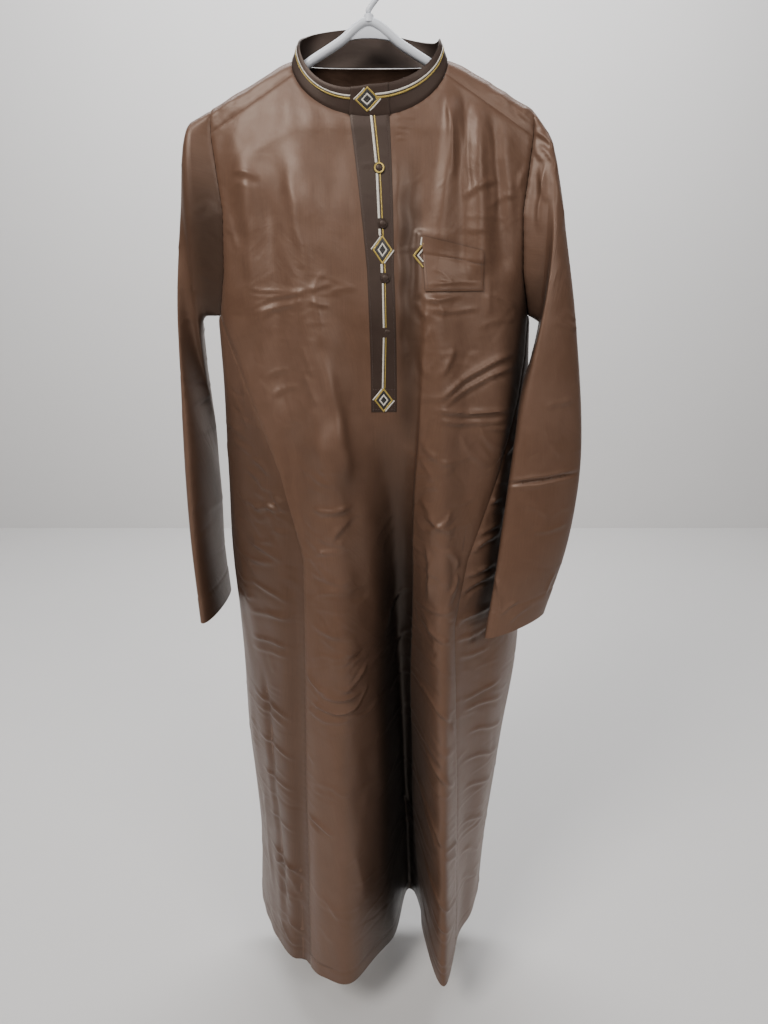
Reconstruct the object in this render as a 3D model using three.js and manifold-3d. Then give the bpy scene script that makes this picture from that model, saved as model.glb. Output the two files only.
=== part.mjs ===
// Long-sleeved thobe hanging on a plastic clothes hanger. Millimetres, +Z up, front toward -Y,
// +X is the wearer's left. The origin is the point inside the hook where a rail bears.
import * as THREE from 'three';
import { mergeVertices } from 'three/addons/utils/BufferGeometryUtils.js';
import Module from 'manifold-3d';

// ---------------------------------------------------------------- driving dimensions
const cloth = 1.4; // wall of every cloth piece
const seamGap = 0.36; // between neighbouring pieces at a seam
const armholeGap = 0.85; // the same on the sleeve's own edge, where the cloth turns sharply
const collarGap = 1.5; // the same on the collar's edge
const liftGap = 0.35; // between a panel and what is sewn on it
const hemZ = -1582;
const armpitZ = -440;
const lowerRows = 18; // steps from the armpits to the hem
const frontRows = 8; // steps from the yoke seams and the neck to the armpits
const backRows = 6;
const yokeRows = 5;
const shoulderColumns = 7; // along each front yoke seam
const neckFrontColumns = 20;
const goreFrontColumns = 4; // from the gore's front seam to its side fold
const goreBackColumns = 3;
const sleeveRings = 15;
const frontColumns = 2 * shoulderColumns + neckFrontColumns;
const neckBackColumns = 12;
const backColumns = 2 * shoulderColumns + neckBackColumns;

const neck = { x: -3, halfWidth: 103, frontDrop: 75, seamAngle: 15, backZ: -113 };
const shoulder = { ridgeZ: -108, start: 104, slope: 0.54, round: 12, armRound: 8.5, backHump: 34 };
const yoke = { seamSlope: 0.61, backSeamZ: -200, backNeckSpread: 150 };
const collar = { height: 36, sideSink: 0.3, backRise: 12, lean: 4, sideLean: -11, gap: 2.4, tilt: 0.1 };
const placketStrip = { x: -3, drift: 19, halfTop: 26, halfEnd: 18, endZ: -562, endRow: 3 };
const pocket = { firstRow: 5, lastRow: 7, firstColumn: 22, lastColumn: 28 };
const button = { radius: 6.2, height: 3.4, seat: 0.4, aside: 0.5, heights: [-247, -316, -385, -456] };
const hanger = {
  x: -4, apexZ: -68, tube: 6, armDrop: 10.3, armTip: 210, kneeX: 106, kneeZ: -128.5,
  webHalf: 46, webThick: 4, webDrop: 25, webArch: 8,
  bossRadius: 5.5, bossHeight: 7, hookInner: 17, hookTube: 3.6, hookStart: -55, hookEnd: 205,
};
const wasm = await Module();
wasm.setup();

// Cross sections of the body. left, right: the side folds. side: how far back they lie.
// front, back: how far the middle of each face stands from y = 0 and from the side folds.
const sections = [
  { z: -60, left: -232, right: 232, side: 0, front: 38, back: 42, round: 0.62 },
  { z: -190, left: -232, right: 232, side: 0, front: 43, back: 46, round: 0.62 },
  { z: -300, left: -230, right: 232, side: 2, front: 62, back: 50, round: 0.62 },
  { z: -440, left: -226, right: 229, side: 4, front: 82, back: 52, round: 0.62 },
  { z: -600, left: -226, right: 236, side: 10, front: 100, back: 48, round: 0.64 },
  { z: -800, left: -232, right: 243, side: 25, front: 108, back: 42, round: 0.68 },
  { z: -1000, left: -229, right: 247, side: 45, front: 112, back: 36, round: 0.72 },
  { z: -1170, left: -231, right: 233, side: 60, front: 116, back: 31, round: 0.76 },
  { z: -1400, left: -225, right: 216, side: 82, front: 122, back: 27, round: 0.8 },
  { z: -1582, left: -234, right: 208, side: 95, front: 126, back: 25, round: 0.82 },
];

// Seams that bound the front and back panels, as places across the cloth at each height.
const seams = [
  { z: -150, frontLeft: -222, frontRight: 222, backLeft: -222, backRight: 222 },
  { z: -205, frontLeft: -218, frontRight: 218, backLeft: -218, backRight: 218 },
  { z: -300, frontLeft: -206, frontRight: 207, backLeft: -209, backRight: 210 },
  { z: -380, frontLeft: -210, frontRight: 212, backLeft: -213, backRight: 215 },
  { z: -440, frontLeft: -222, frontRight: 225, backLeft: -222, backRight: 225 },
  { z: -500, frontLeft: -196, frontRight: 222, backLeft: -212, backRight: 216 },
  { z: -557, frontLeft: -173, frontRight: 213, backLeft: -200, backRight: 206 },
  { z: -657, frontLeft: -135, frontRight: 188, backLeft: -181, backRight: 190 },
  { z: -789, frontLeft: -105, frontRight: 142, backLeft: -165, backRight: 168 },
  { z: -892, frontLeft: -107, frontRight: 124, backLeft: -160, backRight: 160 },
  { z: -1200, frontLeft: -115, frontRight: 138, backLeft: -156, backRight: 156 },
  { z: -1582, frontLeft: -118, frontRight: 150, backLeft: -158, backRight: 152 },
];

// Folds. x0, w0, d0 are place, half width and depth where the fold starts at z0; x1, w1, d1 the same
// at its end z1. A positive depth is a valley in the front, and pushes the back panel out.
// grow bends how the depth changes on the way, edge squares the fold off (1 and 2 where a row leaves
// them out), fade ends it softly.
const folds = [
  { face: 'front', z0: -400, z1: hemZ, x0: 18, x1: 46, w0: 64, w1: 60, d0: 0, d1: 92, grow: 0.85 },
  {
    face: 'front', z0: -540, z1: hemZ, x0: 34, x1: 72, w0: 36, w1: 26, d0: 0, d1: 128, grow: 0.95,
    edge: 2.6,
  },
  { face: 'front', z0: -200, z1: -620, x0: -112, x1: -56, w0: 26, w1: 30, d0: -5, d1: -12, fade: 90 },
  { face: 'front', z0: -560, z1: hemZ, x0: -58, x1: -44, w0: 34, w1: 32, d0: -8, d1: -10, fade: 60 },
  { face: 'front', z0: -215, z1: -440, x0: -172, x1: -166, w0: 14, w1: 18, d0: -6, d1: -5, fade: 50 },
  { face: 'front', z0: -250, z1: -520, x0: -142, x1: -128, w0: 16, w1: 22, d0: 6, d1: 7, fade: 60 },
  { face: 'front', z0: -560, z1: hemZ, x0: -112, x1: -128, w0: 16, w1: 16, d0: 6, d1: 18, fade: 60 },
  {
    face: 'front', z0: -340, z1: hemZ, x0: 88, x1: 122, w0: 26, w1: 24, d0: -6, d1: -74, grow: 1.4,
    fade: 60,
  },
  { face: 'front', z0: -820, z1: hemZ, x0: 176, x1: 166, w0: 26, w1: 20, d0: 4, d1: 16, fade: 60 },
  { face: 'front', z0: -150, z1: -330, x0: 108, x1: 92, w0: 8, w1: 13, d0: -7, d1: -4, fade: 30 },
  { face: 'front', z0: -150, z1: -350, x0: 124, x1: 122, w0: 8, w1: 13, d0: 5, d1: 4, fade: 30 },
  { face: 'front', z0: -160, z1: -360, x0: 140, x1: 150, w0: 9, w1: 15, d0: -6, d1: -5, fade: 30 },
  { face: 'front', z0: -175, z1: -360, x0: 160, x1: 178, w0: 10, w1: 16, d0: 4, d1: 5, fade: 30 },
  { face: 'back', z0: -330, z1: hemZ, x0: -118, x1: -140, w0: 30, w1: 34, d0: 4, d1: 20, fade: 90 },
  { face: 'back', z0: -330, z1: hemZ, x0: -62, x1: -84, w0: 26, w1: 28, d0: -5, d1: -12, fade: 90 },
  { face: 'back', z0: -260, z1: hemZ, x0: -8, x1: -22, w0: 30, w1: 36, d0: 5, d1: 22, fade: 90 },
  { face: 'back', z0: -330, z1: hemZ, x0: 52, x1: 50, w0: 24, w1: 28, d0: -5, d1: -10, fade: 90 },
  { face: 'back', z0: -330, z1: hemZ, x0: 108, x1: 112, w0: 30, w1: 32, d0: 4, d1: 20, fade: 90 },
];

// Sleeves, from the armhole to the cuff. The crown line runs down the outer edge and the under line
// down the inner edge; near and far are the half depths toward the front or outside and behind.
const sleeveLeftTable = [
  { v: 0, cx: 222, cy: 0, cz: -172, ux: 226, uy: 0, uz: -440, near: 26, far: 24, slant: 0 },
  { v: 0.1, cx: 245, cy: -12, cz: -215, ux: 250, uy: -14, uz: -446, near: 30, far: 36, slant: 6 },
  { v: 0.25, cx: 266, cy: -26, cz: -318, ux: 226, uy: -56, uz: -520, near: 27, far: 48, slant: 15 },
  { v: 0.45, cx: 290, cy: -38, cz: -462, ux: 207, uy: -74, uz: -612, near: 22, far: 54, slant: 22 },
  { v: 0.68, cx: 309, cy: -44, cz: -640, ux: 192, uy: -86, uz: -730, near: 21, far: 50, slant: 22 },
  { v: 0.84, cx: 298, cy: -54, cz: -768, ux: 181, uy: -97, uz: -818, near: 20, far: 38, slant: 14 },
  { v: 1, cx: 266, cy: -66, cz: -884, ux: 169, uy: -108, uz: -907, near: 18, far: 27, slant: 6 },
];
const sleeveRightTable = [
  { v: 0, cx: -222, cy: 0, cz: -172, ux: -226, uy: 0, uz: -440, near: 24, far: 26, slant: 0 },
  { v: 0.1, cx: -252, cy: -6, cz: -196, ux: -250, uy: 10, uz: -446, near: 26, far: 24, slant: 0 },
  { v: 0.25, cx: -268, cy: 2, cz: -286, ux: -256, uy: 32, uz: -520, near: 24, far: 24, slant: 0 },
  { v: 0.45, cx: -284, cy: -8, cz: -440, ux: -255, uy: 66, uz: -620, near: 13, far: 18, slant: 0 },
  { v: 0.68, cx: -283, cy: -22, cz: -640, ux: -259, uy: 78, uz: -740, near: 13, far: 17, slant: 0 },
  { v: 0.84, cx: -282, cy: -28, cz: -780, ux: -262, uy: 80, uz: -826, near: 15, far: 16, slant: 0 },
  { v: 1, cx: -277, cy: -32, cz: -922, ux: -256, uy: 78, uz: -906, near: 14, far: 14, slant: 0 },
];

// ---------------------------------------------------------------- finishes
function fabricFinish(color, roughness) {
  return new THREE.MeshStandardMaterial({ color, roughness, metalness: 0 });
}
const brownSatin = () => fabricFinish(0x5b4236, 0.48);
const brownTrim = () => fabricFinish(0x4a352c, 0.5);
const whitePlastic = () => fabricFinish(0xe4e7ec, 0.32);

// ---------------------------------------------------------------- interpolation
function smoothColumn(table, by, key, at) {
  const last = table.length - 1;
  const sign = Math.sign(table[last][by] - table[0][by]);
  let i = 0;
  while (i < last - 1 && (at - table[i + 1][by]) * sign > 0) {
    i += 1;
  }
  const a = table[i];
  const b = table[i + 1];
  const span = b[by] - a[by];
  const t = THREE.MathUtils.clamp((at - a[by]) / span, 0, 1);
  const slope = (p, q) => (table[q][key] - table[p][key]) / (table[q][by] - table[p][by]);
  const inSlope = slope(Math.max(i - 1, 0), i + 1);
  const outSlope = slope(i, Math.min(i + 2, last));
  const t2 = t * t;
  const t3 = t2 * t;
  return (2 * t3 - 3 * t2 + 1) * a[key] + (t3 - 2 * t2 + t) * span * inSlope
    + (3 * t2 - 2 * t3) * b[key] + (t3 - t2) * span * outSlope;
}
const sectionAt = (key, z) => smoothColumn(sections, 'z', key, z);

function seamAt(key, z) {
  const last = seams.length - 1;
  let i = 0;
  while (i < last - 1 && z < seams[i + 1].z) {
    i += 1;
  }
  const t = THREE.MathUtils.clamp((z - seams[i].z) / (seams[i + 1].z - seams[i].z), 0, 1);
  return THREE.MathUtils.lerp(seams[i][key], seams[i + 1][key], t);
}

// ---------------------------------------------------------------- the draped body surface
function shoulderZ(x) {
  const out = Math.abs(x) - shoulder.start;
  return shoulder.ridgeZ - shoulder.slope * (Math.hypot(out, shoulder.round) + out) / 2;
}

function backRidgeZ(x) {
  const across = Math.abs(x - neck.x) / neck.halfWidth;
  return shoulderZ(x) + shoulder.backHump * Math.max(0, 1 - across ** 4);
}

// Distance from the ridge plane: round over the hanger's arm first, then out to the full depth.
function overShoulder(drop, depth, reach) {
  const fall = Math.max(drop, 0);
  const onArm = shoulder.armRound * Math.sqrt(1 - (1 - Math.min(fall / shoulder.armRound, 1)) ** 2);
  return onArm + (depth - shoulder.armRound) * (1 - (1 - Math.min(fall / reach, 1)) ** 1.5);
}

function lens(x, z) {
  const left = sectionAt('left', z);
  const right = sectionAt('right', z);
  const q = Math.min(Math.abs((2 * x - left - right) / (right - left)), 1);
  return { q, value: Math.max(1 - q ** 2.8, 0) ** sectionAt('round', z) };
}

function foldDepth(face, x, z, q) {
  let depth = 0;
  for (const fold of folds) {
    if (fold.face !== face || z > fold.z0) {
      continue;
    }
    const t = Math.min((z - fold.z0) / (fold.z1 - fold.z0), 1);
    const place = THREE.MathUtils.lerp(fold.x0, fold.x1, t);
    const u = Math.abs(x - place) / THREE.MathUtils.lerp(fold.w0, fold.w1, t);
    let amount = THREE.MathUtils.lerp(fold.d0, fold.d1, t ** (fold.grow ?? 1));
    if (fold.fade) {
      amount *= THREE.MathUtils.smoothstep(fold.z0 - z, 0, fold.fade);
      amount *= fold.z1 > hemZ ? THREE.MathUtils.smoothstep(z - fold.z1 + fold.fade, 0, fold.fade) : 1;
    }
    depth += amount * Math.exp(-(u ** (fold.edge ?? 2)));
  }
  return depth * (1 - q ** 8);
}

function backY(x, z) {
  const bow = lens(x, z);
  const reach = overShoulder(backRidgeZ(x) - z, sectionAt('back', z) * bow.value, 60);
  return sectionAt('side', z) + reach + foldDepth('back', x, z, bow.q);
}

function frontY(x, z) {
  const bow = lens(x, z);
  const side = sectionAt('side', z);
  const reach = overShoulder(shoulderZ(x) - z, (side + sectionAt('front', z)) * bow.value, 90);
  const free = side - reach + foldDepth('front', x, z, bow.q);
  const wall = backY(x, z) - 9 * bow.value;
  const blend = 14 * bow.value + 0.01;
  return (free + wall - Math.hypot(free - wall, blend)) / 2;
}

const onFront = (x, z) => new THREE.Vector3(x, frontY(x, z), z);
const onBack = (x, z) => new THREE.Vector3(x, backY(x, z), z);

// ---------------------------------------------------------------- neckline and yoke seams
function neckPoint(degrees) {
  const angle = THREE.MathUtils.degToRad(degrees);
  const x = neck.x + neck.halfWidth * Math.cos(angle);
  const sine = Math.sin(angle);
  if (sine >= 0) {
    return onFront(x, shoulderZ(x) - neck.frontDrop * sine);
  }
  return onBack(x, THREE.MathUtils.lerp(shoulderZ(x), neck.backZ, Math.min(-sine * 3, 1)));
}

function yokeSeamPoint(x) {
  const cross = neckPoint(neck.seamAngle);
  const out = Math.abs(x - neck.x) - (cross.x - neck.x);
  return onFront(x, cross.z - yoke.seamSlope * out);
}

function shoulderSeam(side) {
  const inner = neckPoint(side > 0 ? neck.seamAngle : 180 - neck.seamAngle).x;
  const outer = side * 218;
  const points = [];
  for (let i = 0; i <= shoulderColumns; i += 1) {
    points.push(yokeSeamPoint(THREE.MathUtils.lerp(outer, inner, i / shoulderColumns)));
  }
  return points;
}

function neckArc(from, to, steps) {
  const points = [];
  for (let i = 0; i <= steps; i += 1) {
    points.push(neckPoint(THREE.MathUtils.lerp(from, to, i / steps)));
  }
  return points;
}
const neckFront = neckArc(180 - neck.seamAngle, neck.seamAngle, neckFrontColumns);
const fromBackMiddle = [0, 20, 40, 58, 75, 90, 90 + neck.seamAngle]; // the sixth is on the ridge
const neckBackAngles = [
  ...fromBackMiddle.map((degrees) => 270 - degrees).reverse(),
  ...fromBackMiddle.slice(1).map((degrees) => 270 + degrees),
];
const neckBack = neckBackAngles.map((degrees) => neckPoint(degrees));
const leftSeam = shoulderSeam(-1);
const rightSeam = shoulderSeam(1).reverse();
const frontTop = [...leftSeam.slice(0, -1), ...neckFront, ...rightSeam.slice(1)];
const yokeTop = [...leftSeam.slice(0, -1), ...neckBack, ...rightSeam.slice(1)];

// ---------------------------------------------------------------- rows of points
function alongCurve(dense, fractions) {
  const runs = [0];
  for (let i = 1; i < dense.length; i += 1) {
    runs.push(runs[i - 1] + dense[i].distanceTo(dense[i - 1]));
  }
  const total = runs[runs.length - 1];
  return fractions.map((fraction) => {
    let i = 1;
    while (i < runs.length - 1 && runs[i] < fraction * total) {
      i += 1;
    }
    const t = (fraction * total - runs[i - 1]) / (runs[i] - runs[i - 1]);
    return dense[i - 1].clone().lerp(dense[i], THREE.MathUtils.clamp(t, 0, 1));
  });
}

function denseRow(place, from, to, z) {
  const steps = 240;
  const points = [];
  for (let i = 0; i <= steps; i += 1) {
    points.push(place(THREE.MathUtils.lerp(from, to, i / steps), z));
  }
  return points;
}

const evenly = (steps) => Array.from({ length: steps + 1 }, (_, i) => i / steps);
const firstStrip = frontColumns / 2 - 2; // columns that the placket covers
const lastStrip = frontColumns / 2 + 2;

// Columns stay beside the placket down to its end and then spread out evenly over the folds.
function frontFractions(z) {
  const dense = denseRow(onFront, seamAt('frontLeft', z), seamAt('frontRight', z), z);
  const top = neckFront[neckFrontColumns / 2].z;
  const down = THREE.MathUtils.clamp((z - top) / (placketStrip.endZ - top), 0, 1);
  const middle = placketStrip.x + placketStrip.drift * (1 - (1 - down) ** 2);
  const half = THREE.MathUtils.lerp(placketStrip.halfTop, placketStrip.halfEnd, Math.min(2 * down, 1));
  const runs = [0];
  for (let i = 1; i < dense.length; i += 1) {
    runs.push(runs[i - 1] + dense[i].distanceTo(dense[i - 1]));
  }
  const shareAt = (x) => runs[dense.findIndex((point) => point.x >= x)] / runs[runs.length - 1];
  const a = shareAt(middle - half);
  const b = shareAt(middle + half);
  const relax = THREE.MathUtils.smoothstep(-z, 570, 900);
  return evenly(frontColumns).map((even, i) => {
    let share = a * i / firstStrip;
    if (i > lastStrip) {
      share = b + (1 - b) * (i - lastStrip) / (frontColumns - lastStrip);
    } else if (i > firstStrip) {
      share = a + (b - a) * (i - firstStrip) / (lastStrip - firstStrip);
    }
    return THREE.MathUtils.lerp(share, even, relax);
  });
}

const lowerHeights = evenly(lowerRows).map((t) => THREE.MathUtils.lerp(armpitZ, hemZ, t ** 1.25));

function frontLowerRow(z) {
  const dense = denseRow(onFront, seamAt('frontLeft', z), seamAt('frontRight', z), z);
  return alongCurve(dense, frontFractions(z));
}

function backLowerRow(z) {
  const dense = denseRow(onBack, seamAt('backLeft', z), seamAt('backRight', z), z);
  return alongCurve(dense, evenly(backColumns));
}

function frontGrid() {
  const armpit = frontLowerRow(armpitZ);
  const share = (row, i) => (row[i].x - row[0].x) / (row[frontColumns].x - row[0].x);
  const rows = [];
  for (let r = 0; r < frontRows; r += 1) {
    const t = r / frontRows;
    rows.push(frontTop.map((top, i) => {
      if (r === 0) {
        return top;
      }
      const level = THREE.MathUtils.lerp(-190, armpitZ, t);
      const z = level + (top.z + 190) * (1 - t) ** 2;
      const ends = [frontTop[0], frontTop[frontColumns]].map((end) => level + (end.z + 190) * (1 - t) ** 2);
      const left = seamAt('frontLeft', ends[0]);
      const right = seamAt('frontRight', ends[1]);
      const across = THREE.MathUtils.lerp(share(frontTop, i), share(armpit, i), 1 - (1 - t) ** 2);
      return onFront(THREE.MathUtils.lerp(left, right, across), z);
    }));
  }
  return [...rows, ...lowerHeights.map(frontLowerRow)];
}

function yokeGrid() {
  const rows = [];
  for (let r = 0; r <= yokeRows; r += 1) {
    const t = r / yokeRows;
    rows.push(yokeTop.map((start, i) => {
      if (r === 0) {
        return start;
      }
      const inNeck = i >= shoulderColumns && i <= backColumns - shoulderColumns;
      const spread = yoke.backNeckSpread;
      let endX = THREE.MathUtils.lerp(-spread, spread, (i - shoulderColumns) / neckBackColumns);
      if (!inNeck) {
        const inward = Math.min(i, backColumns - i) / shoulderColumns;
        const tip = seamAt('backRight', yoke.backSeamZ);
        endX = THREE.MathUtils.lerp(tip, spread, inward) * (i < shoulderColumns ? -1 : 1);
      }
      const fromCorner = Math.min(i, backColumns - i) - shoulderColumns;
      const ridgeRow = fromCorner > 0 ? Math.max(2 - fromCorner, 0) : 2;
      const onRidge = ridgeRow / yokeRows;
      const startRoot = fromCorner > 0
        ? Math.sqrt(Math.max(backRidgeZ(start.x) - start.z, 0))
        : -Math.sqrt(Math.max(shoulderZ(start.x) - start.z, 0));
      const endRoot = Math.sqrt(backRidgeZ(endX) - yoke.backSeamZ);
      let root = THREE.MathUtils.lerp(startRoot, endRoot, t);
      if (onRidge > 0) {
        root = t < onRidge + 0.01
          ? startRoot * (1 - Math.min(t / onRidge, 1))
          : endRoot * ((t - onRidge) / (1 - onRidge)) ** 1.25;
      }
      const x = THREE.MathUtils.lerp(start.x, endX, Math.sin(t * Math.PI / 2));
      if (root < 0) {
        return onFront(x, shoulderZ(x) - root * root);
      }
      return r === yokeRows ? onBack(endX, yoke.backSeamZ) : onBack(x, backRidgeZ(x) - root * root);
    }));
  }
  return rows;
}

function backGrid(yokeEnd) {
  const armpit = backLowerRow(armpitZ);
  const share = (row, i) => (row[i].x - row[0].x) / (row[backColumns].x - row[0].x);
  const rows = [yokeEnd];
  for (let r = 1; r < backRows; r += 1) {
    const t = r / backRows;
    const z = THREE.MathUtils.lerp(yoke.backSeamZ, armpitZ, t);
    rows.push(yokeEnd.map((_, i) => {
      const across = THREE.MathUtils.lerp(share(yokeEnd, i), share(armpit, i), t);
      return onBack(THREE.MathUtils.lerp(seamAt('backLeft', z), seamAt('backRight', z), across), z);
    }));
  }
  return [...rows, ...lowerHeights.map(backLowerRow)];
}

function goreGrid(side) {
  const key = side < 0 ? 'Left' : 'Right';
  return lowerHeights.map((z) => {
    const fold = sectionAt(side < 0 ? 'left' : 'right', z);
    const front = denseRow(onFront, seamAt(`front${key}`, z), fold, z);
    const back = denseRow(onBack, fold, seamAt(`back${key}`, z), z);
    const row = alongCurve(front, evenly(goreFrontColumns));
    return [...row, ...alongCurve(back, evenly(goreBackColumns)).slice(1)];
  });
}

// ---------------------------------------------------------------- sleeves
function armholeLoop(side, grids) {
  const edge = (row) => (side < 0 ? row[0] : row[row.length - 1]);
  const yokeEdge = grids.yoke.map(edge).reverse();
  const frontEdge = grids.front.slice(0, frontRows + 1).map(edge);
  const goreTop = (side < 0 ? grids.goreRight : grids.goreLeft)[0];
  const backEdge = grids.back.slice(0, backRows + 1).map(edge).reverse();
  return [...yokeEdge.slice(0, -1), ...frontEdge.slice(0, -1), ...goreTop, ...backEdge.slice(1, -1)];
}

function sleeveGrid(table, loop, side) {
  const count = loop.length;
  const at = (key, v) => smoothColumn(table, 'v', key, v);
  const crownZ = Math.max(...loop.map((point) => point.z));
  const startAngles = loop.map((point) => {
    const height = THREE.MathUtils.clamp(2 * (point.z - armpitZ) / (crownZ - armpitZ) - 1, -1, 1);
    return Math.atan2(-point.y / (point.y < 0 ? at('near', 0) : at('far', 0)), height);
  });
  const crownIndex = loop.findIndex((point) => point.z === crownZ);
  const rings = [loop];
  for (let r = 1; r <= sleeveRings; r += 1) {
    const v = r / sleeveRings;
    const crown = new THREE.Vector3(at('cx', v), at('cy', v), at('cz', v));
    const under = new THREE.Vector3(at('ux', v), at('uy', v), at('uz', v));
    const middle = crown.clone().add(under).multiplyScalar(0.5);
    const half = crown.clone().sub(under).multiplyScalar(0.5);
    const across = new THREE.Vector3(0, -1, 0);
    if (side < 0) {
      across.lerp(new THREE.Vector3(0.94, 0.34, 0), THREE.MathUtils.smoothstep(v, 0.3, 0.9)).normalize();
    }
    const settle = THREE.MathUtils.smoothstep(v, 0, 0.5);
    rings.push(loop.map((_, k) => {
      let even = 2 * Math.PI * (k - crownIndex) / count;
      if (even > Math.PI) {
        even -= 2 * Math.PI;
      }
      if (even < -Math.PI) {
        even += 2 * Math.PI;
      }
      const angle = THREE.MathUtils.lerp(startAngles[k], even, settle);
      const depth = Math.sin(angle) > 0 ? at('near', v) : -at('far', v);
      const point = middle.clone().addScaledVector(half, Math.cos(angle));
      point.addScaledVector(across, depth * Math.abs(Math.sin(angle)));
      if (Math.sin(angle) < 0) {
        point.x += at('slant', v) * Math.abs(Math.sin(angle));
      }
      return point;
    }));
  }
  return rings;
}

// ---------------------------------------------------------------- cloth walls
const key = (point) => `${point.x.toFixed(3)},${point.y.toFixed(3)},${point.z.toFixed(3)}`;
const shared = new Map(); // face normals that meet at each point of the garment, across its seams

function gridFaces(grid, closed) {
  const faces = [];
  const width = grid[0].length;
  const middle = (width - 1) / 2;
  for (let r = 0; r + 1 < grid.length; r += 1) {
    for (let c = 0; c < (closed ? width : width - 1); c += 1) {
      const d = (c + 1) % width;
      const [a, b, e, f] = [grid[r][c], grid[r + 1][c], grid[r][d], grid[r + 1][d]];
      faces.push(...(closed || c < middle ? [[a, b, e], [e, b, f]] : [[a, b, f], [a, f, e]]));
    }
  }
  return faces;
}

function noteNormals(grid, closed) {
  for (const [a, b, c] of gridFaces(grid, closed)) {
    const normal = b.clone().sub(a).cross(c.clone().sub(a));
    if (normal.length() < 1e-6) {
      continue;
    }
    for (const point of [a, b, c]) {
      const name = key(point);
      shared.set(name, [...(shared.get(name) ?? []), normal]);
    }
  }
}

function outward(point) {
  const normals = shared.get(key(point));
  const sum = normals.reduce((total, normal) => total.add(normal), new THREE.Vector3()).normalize();
  const least = Math.min(...normals.map((normal) => normal.clone().normalize().dot(sum)));
  return sum.multiplyScalar(1 / Math.max(least, 0.6));
}

// Pulls the rim of a panel back by half a seam's gap.
function trimmed(grid, closed, sides, gap) {
  const lastRow = grid.length - 1;
  const lastColumn = grid[0].length - 1;
  return grid.map((row, r) => row.map((point, c) => {
    const moved = point.clone();
    const pull = (other, before, after) => {
      const along = after.clone().sub(before).normalize();
      const inward = other.clone().sub(point);
      moved.addScaledVector(inward.addScaledVector(along, -inward.dot(along)).normalize(), gap / 2);
    };
    const beside = closed
      ? [row[(c + lastColumn) % (lastColumn + 1)], row[(c + 1) % (lastColumn + 1)]]
      : [row[Math.max(c - 1, 0)], row[Math.min(c + 1, lastColumn)]];
    const above = [grid[Math.max(r - 1, 0)][c], grid[Math.min(r + 1, lastRow)][c]];
    if (r === 0 && sides.includes('top')) {
      pull(grid[1][c], ...beside);
    }
    if (r === lastRow && sides.includes('bottom')) {
      pull(grid[lastRow - 1][c], ...beside);
    }
    if (!closed && c === 0) {
      pull(row[1], ...above);
    }
    if (!closed && c === lastColumn) {
      pull(row[lastColumn - 1], ...above);
    }
    return moved;
  }));
}

// Quads left of the middle column are split one way and the others the other way.
function wallGeometry(grid, { closed = false, lift = 0, sides = ['top'], gap = seamGap, middle } = {}) {
  const rim = trimmed(grid, closed, sides, gap);
  const rows = grid.length;
  const columns = grid[0].length;
  const positions = [];
  for (const offset of lift ? [lift + cloth, lift] : [0, -cloth]) {
    rim.forEach((row, r) => row.forEach((point, c) => {
      const moved = point.clone().addScaledVector(outward(grid[r][c]), offset);
      positions.push(moved.x, moved.y, moved.z);
    }));
  }
  const inner = rows * columns;
  const at = (r, c) => r * columns + (c % columns);
  const index = [];
  const quad = (a, b, c, d) => index.push(a, b, c, c, b, d);
  const lastColumn = closed ? columns : columns - 1;
  const turn = closed ? columns : middle ?? lastColumn / 2;
  for (let r = 0; r + 1 < rows; r += 1) {
    for (let c = 0; c < lastColumn; c += 1) {
      const [a, b, e, f] = [at(r, c), at(r + 1, c), at(r, c + 1), at(r + 1, c + 1)];
      for (const [i, j, k] of c < turn ? [[a, b, e], [e, b, f]] : [[a, b, f], [a, f, e]]) {
        index.push(i, j, k, inner + i, inner + k, inner + j);
      }
    }
    if (!closed) {
      quad(at(r, 0), inner + at(r, 0), at(r + 1, 0), inner + at(r + 1, 0));
      const [upper, lower] = [at(r, lastColumn), at(r + 1, lastColumn)];
      quad(lower, inner + lower, upper, inner + upper);
    }
  }
  for (let c = 0; c < lastColumn; c += 1) {
    quad(at(0, c + 1), inner + at(0, c + 1), at(0, c), inner + at(0, c));
    quad(at(rows - 1, c), inner + at(rows - 1, c), at(rows - 1, c + 1), inner + at(rows - 1, c + 1));
  }
  const geometry = new THREE.BufferGeometry();
  geometry.setAttribute('position', new THREE.Float32BufferAttribute(positions, 3));
  geometry.setIndex(index);
  geometry.computeVertexNormals();
  return geometry;
}

function piece(name, geometry, material) {
  const mesh = new THREE.Mesh(geometry, material);
  mesh.name = name;
  return mesh;
}

// ---------------------------------------------------------------- collar
const frontStep = (180 - 2 * neck.seamAngle) / neckFrontColumns;

function collarAngles() {
  const start = 90 + THREE.MathUtils.radToDeg(collar.gap / 2 / neck.halfWidth);
  const angles = [start];
  for (let i = 1; i <= neckFrontColumns / 2; i += 1) {
    angles.push(90 + frontStep * i);
  }
  angles.push(...neckBackAngles.slice(1));
  for (let i = 1; i < neckFrontColumns / 2; i += 1) {
    angles.push(360 + neck.seamAngle + frontStep * i);
  }
  return [...angles, 540 - start];
}

const tabAngles = () => [-2, -1, 0, 1, 2].map((step) => 90 + step * frontStep);

function collarGrid(angles) {
  return [1, 0.5, 0].map((up) => angles.map((degrees) => {
    const angle = THREE.MathUtils.degToRad(degrees);
    const point = neckPoint(degrees);
    const sine = Math.sin(angle);
    const sink = 1 - collar.sideSink * Math.abs(Math.cos(angle));
    const tilt = collar.tilt * (point.x - neck.x) * sine;
    point.z += up * (collar.height * sink + collar.backRise * Math.max(-sine, 0) + tilt);
    point.x += up * collar.sideLean * Math.cos(angle);
    point.y -= up * collar.lean * sine;
    return point;
  }));
}

// ---------------------------------------------------------------- buttons
function columnPoint(c, z) {
  const column = grids.front.map((row) => row[c]);
  const r = column.findIndex((point) => point.z <= z);
  const t = (z - column[r - 1].z) / (column[r].z - column[r - 1].z);
  return column[r - 1].clone().lerp(column[r], t);
}

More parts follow.
